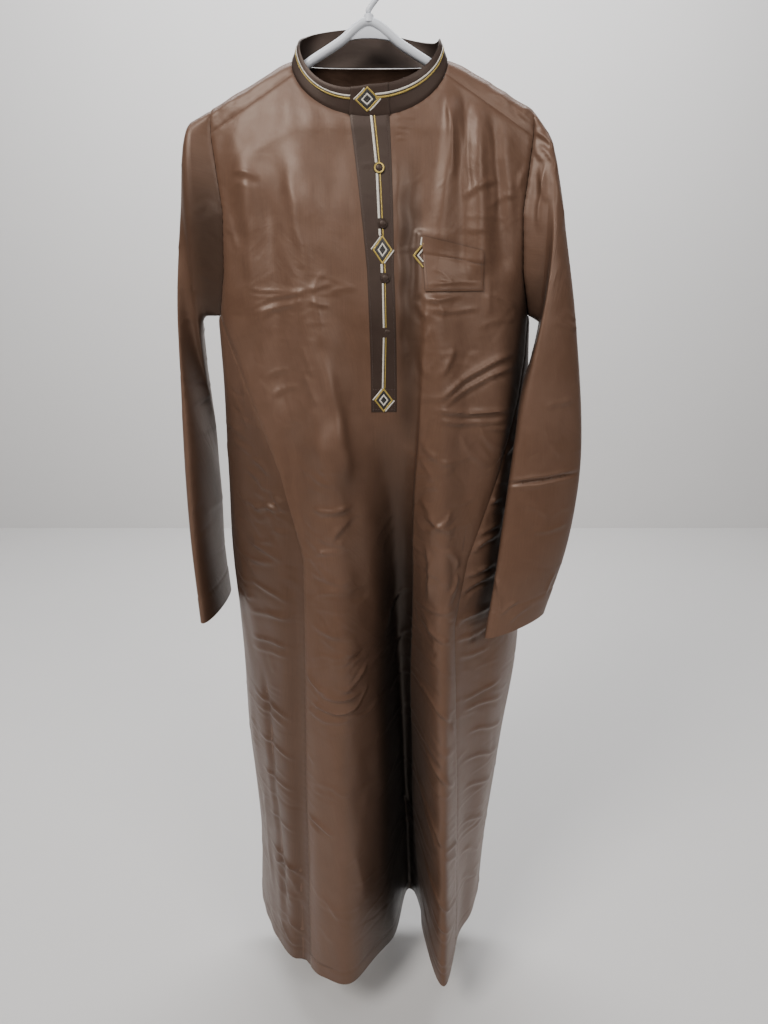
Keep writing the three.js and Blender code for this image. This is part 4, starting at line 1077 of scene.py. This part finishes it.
sleeveLeftCreases = [
    (186, -672, 312, -662, 2, 3.5, -2.4), (186, -666, 312, -656, 2, 3.5, 1.6),
    (236, -232, 228, -330, -4, 5, 2.2), (214, -196, 246, -222, 4, 4, 2.4),
    (212, -206, 238, -238, -4, 4, 2.3), (222, -214, 250, -250, 4, 4, 2.0),
    (226, -240, 240, -290, -4, 5, 1.8), (240, -250, 262, -320, 4, 6, 1.4),
    (246, -440, 300, -462, 4, 4.5, 1.6), (258, -430, 300, -452, 3, 4, 1.1),
    (240, -560, 290, -556, 4, 6, 0.8), (232, -600, 280, -640, 4, 6, 0.8),
    (214, -700, 262, -724, 5, 6, 0.8), (228, -740, 296, -736, -4, 5, 0.9),
    (180, -800, 190, -880, 3, 4, 1.4), (262, -852, 280, -812, 3, 4, 1.3),
    (190, -870, 220, -846, 3, 4, 1.5), (200, -886, 240, -858, 3, 4, 1.0),
]
sleeveRightCreases = [
    (-262, -549, -210, -552, 2, 4, 1.5), (-272, -360, -240, -366, 2, 4, 1.4),
    (-268, -300, -250, -330, 3, 5, 1.4), (-240, -330, -204, -420, 5, 5, 2.4),
    (-246, -350, -214, -452, -5, 5, 2.4), (-232, -380, -200, -400, 3, 4, 1.8),
    (-236, -400, -206, -446, 4, 4, 2.0), (-226, -300, -212, -360, 3, 5, 1.8),
    (-258, -420, -232, -500, 4, 5, 2.0), (-250, -560, -238, -640, 4, 6, 1.2),
    (-256, -690, -240, -760, 4, 6, 1.2), (-262, -796, -222, -774, 2, 4, 1.2),
    (-272, -460, -240, -470, 2, 4, 1.0),
]
sleeves = [
    {"side": 1, "name": "sleeveLeftCloth", "node": "sleeve_left", "table": sleeveLeftTable,
     "creases": sleeveLeftCreases, "seed": 51,
     "zone": (190, 310, -230, -860, 40, 10, 45, 40, 4, 4.5, 0.5)},
    {"side": -1, "name": "sleeveRightCloth", "node": "sleeve_right", "table": sleeveRightTable,
     "creases": sleeveRightCreases, "seed": 61,
     "zone": (-290, -210, -220, -860, 44, 15, 45, 34, 4, 4.5, 0.8)},
]
cuffBand = 44.0
for sleeve in sleeves:
    side = sleeve["side"]
    loop = armholeLoop(side, front, yoke, gores[side], back, meshSize["sleeveColumns"])
    grid, turns = sleeveGrid(sleeve["table"], loop, side, meshSize["sleeveRings"])
    x, z = grid[..., 0], grid[..., 2]
    seen = smoothstep(side * np.sin(turns), -0.15, 0.3)
    outside = creaseHeight(sleeve["creases"] + scatter([sleeve["zone"]], sleeve["seed"]), x, z)
    hidden = creaseHeight(scatter([sleeve["zone"]], sleeve["seed"] + 5), x, z)
    relief = seen * outside + (1 - seen) * np.minimum(hidden, 0.6)
    relief = seamed(relief, grid, ("top",), 12.0)
    _, down = edgeRuns(grid)
    fromCuff = down[-1:] - down
    relief += hemRelief(fromCuff, cuffBand)
    normals = smoothNormals(grid, True) * (1 if side < 0 else -1)
    shaped = grid + relief[..., None] * normals
    if side > 0:
        shaped = shaped[:, ::-1]
    piece = dress(wallPiece(sleeve["name"], shaped, brown, closed=True), "satin", sleeve["node"])
    cutSheet(piece, grid, True)
    # painted shade on the sleeve's side towards the body, below the shoulder
    if side < 0:
        paintShade(piece, 0.75 * smoothstep(x, -286, -232) * smoothstep(-z, 190, 320))
print("sleeves")


def onCollar(place, lift):  # place: mm along the neck from the front's middle, mm above the neckline
    def at(along, high):
        angle = np.pi / 2 - along / neck["halfWidth"]
        base = neckPoints(np.degrees(angle) % 360)
        up = high / collar["height"]
        sine = np.sin(angle)
        rise = collar["height"] * (1 - collar["sideSink"] * np.abs(np.cos(angle)))
        rise = rise + collar["backRise"] * np.maximum(-sine, 0)
        rise = rise + collar["tilt"] * (base[..., 0] - neck["x"]) * sine
        lean = np.stack([collar["sideLean"] * np.cos(angle), -collar["lean"] * sine, rise], -1)
        return base + up[..., None] * lean
    along, high = place[..., 0], place[..., 1]
    here = at(along, high)
    normal = np.cross(at(along + 1.5, high) - at(along - 1.5, high), at(along, high + 1) - here)
    normal /= np.linalg.norm(normal, axis=-1, keepdims=True)
    return here + normal * lift[..., None]


def onPanel(place, lift):  # place: x and z on the front
    x, z = place[..., 0], place[..., 1]
    here = onFront(x, z)
    normal = np.cross(onFront(x + 1.5, z) - onFront(x - 1.5, z), onFront(x, z + 1.5) - onFront(x, z - 1.5))
    normal /= np.linalg.norm(normal, axis=-1, keepdims=True)
    return here + normal * lift[..., None]


class Ribbons:  # gathers the flat raised bands of one thread into one mesh
    def __init__(self):
        self.points, self.faces, self.uvs, self.count = [], {4: [], 6: []}, {4: [], 6: []}, 0

    def add(self, carrier, path, width, rise=0.7, lift=0.0, closed=False):
        path = np.asarray(path, float)
        before = np.roll(path, 1, 0) if closed else np.concatenate([path[:1], path[:-1]])
        after = np.roll(path, -1, 0) if closed else np.concatenate([path[1:], path[-1:]])
        first, second = path - before, after - path
        first = first / np.maximum(np.linalg.norm(first, axis=1, keepdims=True), 1e-9)
        second = second / np.maximum(np.linalg.norm(second, axis=1, keepdims=True), 1e-9)
        tangent = first + second
        tangent /= np.linalg.norm(tangent, axis=1, keepdims=True)
        mitre = 1 / np.clip(np.maximum((tangent * first).sum(1), (tangent * second).sum(1)), 0.4, 1)
        normal = np.stack([-tangent[:, 1], tangent[:, 0]], 1) * mitre[:, None]
        across = np.array([0.5, 0.36, 0.0, -0.36, -0.5, 0.0]) * width
        height = lift + rise * np.array([0.15, 0.85, 1.0, 0.85, 0.15, -0.1])
        place = path[:, None, :] + normal[:, None, :] * across[None, :, None]
        grid = carrier(place, np.broadcast_to(height, place.shape[:2]))
        rows = len(path)
        run = np.concatenate([[0], np.cumsum(np.linalg.norm(np.diff(path, axis=0), axis=1))])
        last = rows if closed else rows - 1
        r = np.repeat(np.arange(last), 6)
        c = np.tile(np.arange(6), last)
        s, d = (r + 1) % rows, (c + 1) % 6
        quads = self.count + np.stack([r * 6 + c, s * 6 + c, s * 6 + d, r * 6 + d], 1)
        self.points.append(grid.reshape(-1, 3))
        self.faces[4].append(quads[:, ::-1])
        corner = [(r, c), (s, c), (s, d), (r, d)][::-1]
        spots = [np.stack([across[k], run[m]], -1) for m, k in corner]
        self.uvs[4].append(np.stack(spots, 1).reshape(-1, 2))
        if not closed:
            for row, turned in ((0, False), (rows - 1, True)):
                cap = self.count + row * 6 + np.arange(6)
                self.faces[6].append((cap[::-1] if turned else cap)[None, :])
                self.uvs[6].append(np.stack([across, np.full(6, run[row])], 1))
        self.count += rows * 6

    def finish(self, name, material):
        faces = [np.concatenate(self.faces[size]) for size in (4, 6) if self.faces[size]]
        uvs = [np.concatenate(self.uvs[size]) for size in (4, 6) if self.uvs[size]]
        return meshFrom(name, np.concatenate(self.points), faces, uvs, material, 75)


whiteBands, goldBands, blackBands = Ribbons(), Ribbons(), Ribbons()


def line(start, end, step=3.0):
    start, end = np.asarray(start, float), np.asarray(end, float)
    count = max(int(np.linalg.norm(end - start) / step), 1)
    return start + (end - start) * np.linspace(0, 1, count + 1)[:, None]


def diamond(centre, half, step=3.0):
    corners = [(centre[0], centre[1] + half[1]), (centre[0] + half[0], centre[1]),
               (centre[0], centre[1] - half[1]), (centre[0] - half[0], centre[1])]
    sides = [line(corners[k], corners[(k + 1) % 4], step)[:-1] for k in range(4)]
    return np.concatenate(sides)


# Nested diamonds, gold outside and white inside, dark between and in the middle, with two short white bars.
def ornament(carrier, centre, half, lift, bar=0.84):
    goldBands.add(carrier, diamond(centre, half), 2.3, 0.75, lift, True)
    blackBands.add(carrier, diamond(centre, (half[0] * 0.73, half[1] * 0.73)), 4.2, 0.4, lift, True)
    whiteBands.add(carrier, diamond(centre, (half[0] * 0.46, half[1] * 0.46)), 2.0, 0.75, lift, True)
    blackBands.add(carrier, diamond(centre, (half[0] * 0.2, half[1] * 0.2), 1.0), 2.6, 0.4, lift, True)
    outX, outZ = half[0] + 3.2, half[1] + 3.2
    for turn in (1, -1):
        start = (centre[0] - turn * outX, centre[1] + turn * 0.5)
        end = (centre[0] - turn * outX * (1 - bar), centre[1] + turn * outZ * bar)
        whiteBands.add(carrier, line(start, end), 1.9, 0.7, lift)


collar = {
    "height": 36.0, "sideSink": 0.3, "backRise": 12.0, "lean": 4.0, "sideLean": -11.0,
    "gap": 2.4, "tilt": 0.1, "wall": 1.8,
}
twinLine = {"white": 24.6, "gold": 20.8, "width": 2.5}
tab = {"half": 27.0, "lift": 0.35, "wall": 1.4, "diamond": (-3.0, 19.5), "halfDiamond": (15.5, 13.5)}

around = 2 * math.pi * neck["halfWidth"]
along = np.linspace(-around + collar["gap"] / 2, -collar["gap"] / 2, 281)
high = np.linspace(collar["height"], 0, 15)
place = np.stack(np.meshgrid(along, high), -1)
swell = 0.5 * np.sin(place[..., 0] / 41) + 0.35 * np.sin(place[..., 0] / 17 + place[..., 1] / 9)
edge = 0.9 * np.exp(-np.minimum(place[..., 1], collar["height"] - place[..., 1]) / 1.6)
band = onCollar(place, 0.5 + swell * 0.6 - edge)
piece = dress(wallPiece("collarCloth", band, trim, collar["wall"]), "trim", "collar_band")
cutSheet(piece, band)

along = np.linspace(-tab["half"], tab["half"], 33)
high = np.linspace(collar["height"] + 0.5, -1.0, 23)
place = np.stack(np.meshgrid(along, high), -1)
border = np.minimum(place[..., 1] + 1, high[0] - place[..., 1])
border = np.minimum(tab["half"] - np.abs(place[..., 0]), border)
lifted = tab["lift"] + tab["wall"] + 0.6 - 0.9 * np.exp(-border / 1.4)
piece = dress(wallPiece("tabCloth", onCollar(place, lifted), trim, tab["wall"]), "trim", "collar_tab")
cutSheet(piece, onCollar(place, lifted))

tabTop = tab["lift"] + tab["wall"] + 0.5
for bands, height in ((whiteBands, twinLine["white"]), (goldBands, twinLine["gold"])):
    run = np.linspace(-around + tab["half"], -tab["half"], 230)
    bands.add(onCollar, np.stack([run, np.full(230, height)], 1), twinLine["width"], 0.7, 0.75)
    start = tab["diamond"][0] + tab["halfDiamond"][0] * 0.72
    bands.add(onCollar, line((start, height), (tab["half"], height)), twinLine["width"], 0.7, tabTop)
ornament(onCollar, tab["diamond"], tab["halfDiamond"], tabTop, 0.8)
print("collar")


lineWay = {  # where the piping runs
    "z": [-150, -178, -247, -316, -349, -385, -456, -549, -600],
    "x": [0, 1, 8.7, 12, 14, 16, 17.5, 15.5, 15],
}
piping = {"whiteAside": -2.3, "goldAside": 1.9, "whiteWidth": 3.2, "goldWidth": 2.0}
ornaments = [(-349.0, (12.0, 17.0)), (-549.0, (12.0, 15.5))]
buttonHeights = [-247.0, -316.0, -385.0, -456.0]
stripTop = 1.6


def lineX(z):
    return atHeight(lineWay, "x", z)


def necklineZ(x):
    share = np.clip((x - neck["x"]) / neck["halfWidth"], -1, 1)
    return shoulderZ(x) - neck["frontDrop"] * np.sqrt(1 - share**2)


down = np.linspace(0, 1, 141)[:, None]
share = np.linspace(-1, 1, 25)[None, :]
level = lerp(placketStrip["topZ"], placketStrip["endZ"], down)
middle, way = placketMiddle(level)
x = middle + share * placketHalf(way)
z = lerp(necklineZ(x) - 0.8, placketStrip["endZ"], down)
border = np.minimum((1 - np.abs(share)) * placketHalf(way), (z - placketStrip["endZ"]))
wrinkles = creaseHeight(scatter([(-25, 36, -200, -560, 26, 5, 25, 18, 1, 2.6, 0.45)], 71), x, z)
lifted = stripTop - 1.1 * np.exp(-border / 1.3) + wrinkles * smoothstep(border, 0, 5)
strip = onPanel(np.stack([x, z], -1), lifted)
cutSheet(dress(wallPiece("placketCloth", strip, trim, 1.25), "trim", "placket"), strip)


def stops():  # stretches of the piping between buttons and diamonds
    gaps = [(height + 6.6, height - 6.6) for height in buttonHeights]
    gaps += [(height + half[1] + 1, height - half[1] - 1) for height, half in ornaments]
    top = -172.0
    for upper, lower in sorted(gaps, reverse=True):
        if top - upper > 4:
            yield top, upper
        top = min(top, lower)


for top, foot in stops():
    for bands, color in ((whiteBands, "white"), (goldBands, "gold")):
        z = np.linspace(top, foot, max(int((top - foot) / 4), 2))
        thin = 1.0 if z[0] > -385 else 0.75
        path = np.stack([lineX(z) + piping[color + "Aside"] * thin, z], 1)
        bands.add(onPanel, path, piping[color + "Width"] * thin, 0.75, stripTop)
for height, half in ornaments:
    ornament(onPanel, (float(lineX(height)), height), half, stripTop)
print("placket")


pocketHem = 20.0
s, t = np.meshgrid(np.linspace(0, 1, 49), np.linspace(0, 1, 45))
x = lerp(lerp(pocket["left"][0], pocket["right"][0], s), lerp(pocket["left"][1], pocket["right"][1], s), t)
z = lerp(lerp(pocket["top"][0], pocket["top"][1], s), lerp(pocket["foot"][0], pocket["foot"][1], s), t)
pocketWide, pocketDeep = 83, 62.0
fromTop = t * pocketDeep
border = np.minimum(np.minimum(s, 1 - s) * pocketWide, (1 - t) * pocketDeep)
pocketCreases = [
    (72, -394, 146, -391, 2, 3.5, 1.8), (76, -386, 150, -388, -2, 3, -0.9),
    (80, -372, 110, -396, 4, 4, 1.0), (120, -352, 132, -392, 2, 5, 0.8), (90, -346, 84, -380, 2, 5, 0.7),
]
worn = creaseHeight(pocketCreases, x, z) * 0.6 * smoothstep(border, 0, 5)
lifted = 2.1 + worn - 0.6 * np.exp(-border / 1.2)
lifted += hemRelief(fromTop, pocketHem)
patch = onPanel(np.stack([x, z], -1), lifted)
cutSheet(dress(wallPiece("pocketCloth", patch, brown, 1.3), "satin", "chest_pocket"), patch)
edgeX = pocket["left"][0] + 1.5
middleZ = -356.0
for bands, half, width in ((goldBands, (11.5, 15.0), 2.4), (whiteBands, (6.0, 8.0), 2.0)):
    turn = [(edgeX + 1, middleZ + half[1]), (edgeX - half[0], middleZ), (edgeX + 1, middleZ - half[1])]
    path = np.concatenate([line(turn[0], turn[1])[:-1], line(turn[1], turn[2])])
    bands.add(onPanel, path, width, 0.7, 0.9)
whiteBands.add(onPanel, line((edgeX - 1.2, -333), (edgeX - 2.4, -343)), 2.2, 0.7, 1.6)
goldBands.add(onPanel, line((edgeX + 1.6, -333), (edgeX + 0.6, -342)), 1.8, 0.7, 1.6)
dress(whiteBands.finish("whitePiping", silver), "trim")
dress(goldBands.finish("goldPiping", gold), "trim")
dress(blackBands.finish("blackFilling", blackThread), "trim")
print("pocket and piping")


button = {"radius": 6.4, "height": 3.6, "sides": 32}
buttonProfile = [
    (0, 0), (0.8, 0), (0.97, 0.12), (1, 0.3), (0.95, 0.5), (0.84, 0.56), (0.8, 0.52), (0.7, 0.72),
    (0.45, 0.93), (0.2, 0.99), (0, 1),
]
buttonRing = [(0, 1.2), (6.3, 1.2), (6.9, 1.4), (7.0, 1.9), (6.6, 2.3), (6.1, 2.2), (0, 2.2)]


def lathe(name, profile, centre, axis, material):
    axis = axis / np.linalg.norm(axis)
    side = np.cross(axis, [1.0, 0.0, 0.0])
    side /= np.linalg.norm(side)
    other = np.cross(axis, side)
    turns = np.linspace(0, 2 * np.pi, button["sides"], endpoint=False)
    rings = [centre + r * (np.cos(turns)[:, None] * side + np.sin(turns)[:, None] * other) + h * axis
             for r, h in profile[1:-1]]
    count = len(turns)
    poles = [centre + profile[end][1] * axis for end in (0, -1)]
    points = np.concatenate([np.array(rings).reshape(-1, 3), poles])
    quads, _ = gridQuads(len(rings), count, True)
    k = np.arange(count)
    first, last = len(points) - 2, len(points) - 1
    base = (len(rings) - 1) * count
    foot = np.stack([np.full(count, first), (k + 1) % count, k], 1)
    crown = np.stack([np.full(count, last), base + k, base + (k + 1) % count], 1)
    flat = np.stack([(points - centre) @ side, (points - centre) @ other], 1)
    uvs = [flat[block].reshape(-1, 2) for block in (quads[:, ::-1], foot, crown)]
    return meshFrom(name, points, [quads[:, ::-1], foot, crown], uvs, material, 50)


for number in range(1, 5):
    low, high = (np.array(corner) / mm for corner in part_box(f"button_{number}"))
    centre = (low + high) / 2
    spot = centre[None, [0, 2]]
    normal = onPanel(spot, np.array([1.0]))[0] - onPanel(spot, np.array([0.0]))[0]
    profile = [(r * button["radius"], h * button["height"]) for r, h in buttonProfile]
    seat = centre - normal * button["height"] * 0.5
    made = lathe(f"buttonCloth{number}", profile, seat, normal, trim)
    dress(made, "button", f"button_{number}")
    if number == 1:
        dress(lathe("buttonRim", buttonRing, seat, normal, gold), "button")
print("buttons")


hanger = {
    "x": -4.0, "apexZ": -68.0, "tube": 6.0, "armDrop": 10.3, "armTip": 210.0, "kneeX": 106.0, "kneeZ": -128.5,
    "webHalf": 46.0, "webThick": 4.0, "webDrop": 25.0, "webArch": 8.0, "hookInner": 17.0, "hookTube": 3.6,
}


def smoothPath(points, steps):
    points = np.asarray(points, float)
    run = np.concatenate([[0], np.cumsum(np.linalg.norm(np.diff(points, axis=0), axis=1))])
    table = {"run": run, "x": points[:, 0], "y": points[:, 1], "z": points[:, 2]}
    at = np.linspace(0, run[-1], steps + 1)
    return np.stack([hermite(table, "run", key, at) for key in "xyz"], 1)


def tube(name, path, radius, sides, material):  # the path lies in the plane y = 0
    tangent = np.gradient(path, axis=0)
    tangent /= np.linalg.norm(tangent, axis=1, keepdims=True)
    side = np.cross(tangent, [0.0, 1.0, 0.0])
    turns = np.linspace(0, 2 * np.pi, sides, endpoint=False)
    radii = np.full(len(path), radius)
    radii[0] = radii[-1] = radius * 0.55
    radii[1] = radii[-2] = radius * 0.9
    circle = np.cos(turns)[None, :, None] * side[:, None]
    circle = circle + np.sin(turns)[None, :, None] * np.array([0.0, 1.0, 0.0])
    rings = path[:, None] + radii[:, None, None] * circle
    quads, ends = gridQuads(len(path), sides, True)
    points = rings.reshape(-1, 3)
    caps = [np.arange(sides)[None, :], (len(points) - sides + np.arange(sides))[None, ::-1]]
    run = np.arange(len(path)) * 3.0
    uvs = [np.stack([np.stack([k * 2.0, run[row]], -1) for row, k in ends], 1).reshape(-1, 2)]
    uvs += [np.zeros((sides, 2)), np.zeros((sides, 2))]
    return meshFrom(name, points, [quads] + caps, uvs, material, 50)


def armPoint(side, share):
    x = side * hanger["armTip"] * share
    run = abs(x - hanger["x"]) / hanger["kneeX"]
    z = shoulderZ(x) - hanger["armDrop"] if share > 0.51 else lerp(hanger["apexZ"], hanger["kneeZ"], run)
    return (x, 0.0, float(z))


shareList = [1, 0.87, 0.74, 0.62, 0.505, 0.36, 0.2]
armPath = [armPoint(-1, share) for share in shareList] + [(hanger["x"], 0, hanger["apexZ"] + 2)]
armPath += [armPoint(1, share) for share in shareList[::-1]]
arms = tube("hangerArms", smoothPath(armPath, 130), hanger["tube"], 24, white)
dress(arms, "hanger", "hanger_body")

foot = hanger["apexZ"] - hanger["webDrop"]
across = np.linspace(-1, 1, 33)
lower = foot + hanger["webArch"] * (1 - across**2)
upper = hanger["apexZ"] - np.abs(across) * (hanger["webDrop"] - 2.0)
webRows = []
for share, bulge in ((0, 0.0), (0.1, 0.4), (0.5, 0.5), (0.9, 0.4), (1, 0.0)):
    across3 = [hanger["x"] + across * hanger["webHalf"], np.full(33, -2.0 - bulge), lerp(upper, lower, share)]
    webRows.append(np.stack(across3, 1))
toFront = np.broadcast_to(np.array([0.0, -1.0, 0.0]), (5, 33, 3))
dress(wallPiece("hangerWeb", np.array(webRows), white, hanger["webThick"], normals=toFront), "hanger")

bossFoot = np.array([hanger["x"], 0.0, hanger["apexZ"] + 1.0])
boss = [(0, 0), (7.4, 0), (7.6, 3), (6.6, 4.2), (6.4, 8.2), (5.6, 9.4), (0, 9.4)]
dress(lathe("hangerBoss", boss, bossFoot, np.array([0.0, 0.0, 1.0]), white), "hanger")

reach = hanger["hookInner"] + hanger["hookTube"]
hookFoot = hanger["apexZ"] + 10.35
turns = np.radians(np.arange(-55, 206, 13))
hookPath = [(hanger["x"], 0, hookFoot), (hanger["x"], 0, hookFoot + 5)]
hookPath += [(reach * math.cos(turn), 0, -hanger["hookInner"] + reach * math.sin(turn)) for turn in turns]
dress(tube("hangerHook", smoothPath(hookPath, 90), hanger["hookTube"], 20, white), "hanger", "hanger_hook")
print("hanger")


stitch = {"pitch": 3.4, "length": 2.3, "radius": 0.28, "sides": 6}


def stitchTree(material):
    tree = bpy.data.node_groups.new("stitchRows", "GeometryNodeTree")
    tree.interface.new_socket("Rows", in_out="INPUT", socket_type="NodeSocketGeometry")
    for name in ("Pitch", "Length", "Radius"):
        tree.interface.new_socket(name, in_out="INPUT", socket_type="NodeSocketFloat")
    tree.interface.new_socket("Stitches", in_out="OUTPUT", socket_type="NodeSocketGeometry")
    given = tree.nodes.new("NodeGroupInput")
    curves = add(tree, "GeometryNodeMeshToCurve", {"Mesh": given.outputs["Rows"]})
    spots = add(tree, "GeometryNodeResampleCurve", {
        "Curve": curves.outputs[0], "Length": given.outputs["Pitch"]}, mode="LENGTH")
    tangent = add(tree, "GeometryNodeInputTangent")
    turn = add(tree, "FunctionNodeAlignRotationToVector", {"Vector": tangent.outputs[0]}, axis="Z")
    bead = add(tree, "GeometryNodeMeshCylinder", {
        "Vertices": stitch["sides"], "Side Segments": 2, "Radius": given.outputs["Radius"],
        "Depth": given.outputs["Length"]})
    rows = add(tree, "GeometryNodeInstanceOnPoints", {
        "Points": spots.outputs[0], "Instance": bead.outputs[0], "Rotation": turn.outputs[0]})
    real = add(tree, "GeometryNodeRealizeInstances", {"Geometry": rows.outputs[0]})
    shaded = add(tree, "GeometryNodeSetShadeSmooth", {"Geometry": real.outputs[0]})
    finished = add(tree, "GeometryNodeSetMaterial", {"Geometry": shaded.outputs[0], "Material": material})
    out = tree.nodes.new("NodeGroupOutput")
    tree.links.new(finished.outputs[0], out.inputs[0])
    return tree


def stitched(name, rows, material):
    points = np.concatenate(rows) * mm
    edges, count = [], 0
    for row in rows:
        edges += [(count + k, count + k + 1) for k in range(len(row) - 1)]
        count += len(row)
    mesh = bpy.data.meshes.new(name + "Rows")
    mesh.from_pydata(points.tolist(), edges, [])
    source = placed(name + "Rows", mesh)
    tree = stitchTree(material)
    modifier = source.modifiers.new("stitches", "NODES")
    modifier.node_group = tree
    for item in tree.interface.items_tree:
        if item.in_out == "INPUT" and item.name.lower() in stitch:
            modifier[item.identifier] = stitch[item.name.lower()] * mm
    bpy.context.view_layer.update()
    evaluated = source.evaluated_get(bpy.context.evaluated_depsgraph_get())
    made = bpy.data.meshes.new_from_object(evaluated)
    made.name = name
    bpy.data.objects.remove(source)
    if not made.materials:
        made.materials.append(material)
    layer = made.uv_layers.get("cloth") or made.uv_layers.new(name="cloth")
    places = np.empty(len(made.loops), np.int32)
    made.loops.foreach_get("vertex_index", places)
    spots = np.empty(len(made.vertices) * 3, np.float32)
    made.vertices.foreach_get("co", spots)
    layer.data.foreach_set("uv", spots.reshape(-1, 3)[places][:, [0, 2]].ravel())
    return placed(name, made)


def panelRow(way, lift):
    way = np.asarray(way, float)
    parts = [line(way[k], way[k + 1])[:-1] for k in range(len(way) - 1)] + [way[-1:]]
    places = np.concatenate(parts)
    return onPanel(places, np.full(len(places), lift))


rows = []
for share in (-0.86, 0.86):
    z = np.linspace(-188, placketStrip["endZ"] + 3, 120)
    middle, way = placketMiddle(z)
    rows.append(onPanel(np.stack([middle + share * placketHalf(way), z], 1), np.full(120, stripTop + 0.1)))
middle = float(placketMiddle(np.array(placketStrip["endZ"]))[0])
for lift in (4.0, 32.0):
    z = placketStrip["endZ"] + lift
    rows.append(panelRow([(middle - 15, z), (middle + 15, z)], stripTop + 0.1))
inset = 3.0
pocketSeam = [
    (pocket["left"][0] + inset, -334), (pocket["left"][1] + inset, pocket["foot"][0] + inset),
    (pocket["right"][1] - inset, pocket["foot"][1] + inset), (pocket["right"][0] - inset, -352),
]
hemSeam = [(pocket["left"][0] + 2, pocket["top"][0] - pocketHem), (149, pocket["top"][1] - pocketHem + 2)]
sideSeam = [(198, -612), (188, -636), (168, -660), (150, -688), (138, -728), (132, -770)]
for way, lift in ((pocketSeam, 1.9), (hemSeam, 1.9), (sideSeam, 0.4)):
    rows.append(panelRow(way, lift))
for piece, side in ((front, -1), (back, 1)):
    run = edgeDistance(piece, ("bottom",))[:, 0]
    row = int(np.argmin(np.abs(run - hemBand)))
    rows.append(piece[row] + smoothNormals(piece)[row] * -side * 0.1)
rows.append(back[:2, 6:-6].mean(0) + np.array([0.0, 0.0, -3.0]))
dress(stitched("stitching", rows, seamThread), "trim")
print("stitching")

room = {"floorZ": -1700.0, "half": 4500.0, "wallY": 2600.0, "wallTop": 3000.0, "ambient": 0.05}
edges = (-room["half"], room["half"])
floorCorners = [(x, y, room["floorZ"]) for y in (-room["half"], room["wallY"]) for x in edges]
wallCorners = [(x, room["wallY"], room["wallTop"]) for x in edges]
floor = meshFrom("floorAndWall", floorCorners + wallCorners, [np.array([[0, 1, 3, 2], [2, 3, 5, 4]])],
                 [np.zeros((8, 2))], pale)
world = bpy.data.worlds.new("room")
world.use_nodes = True
world.node_tree.nodes["Background"].inputs["Color"].default_value = (0.93, 0.95, 1.0, 1.0)
world.node_tree.nodes["Background"].inputs["Strength"].default_value = room["ambient"]
bpy.context.scene.world = world
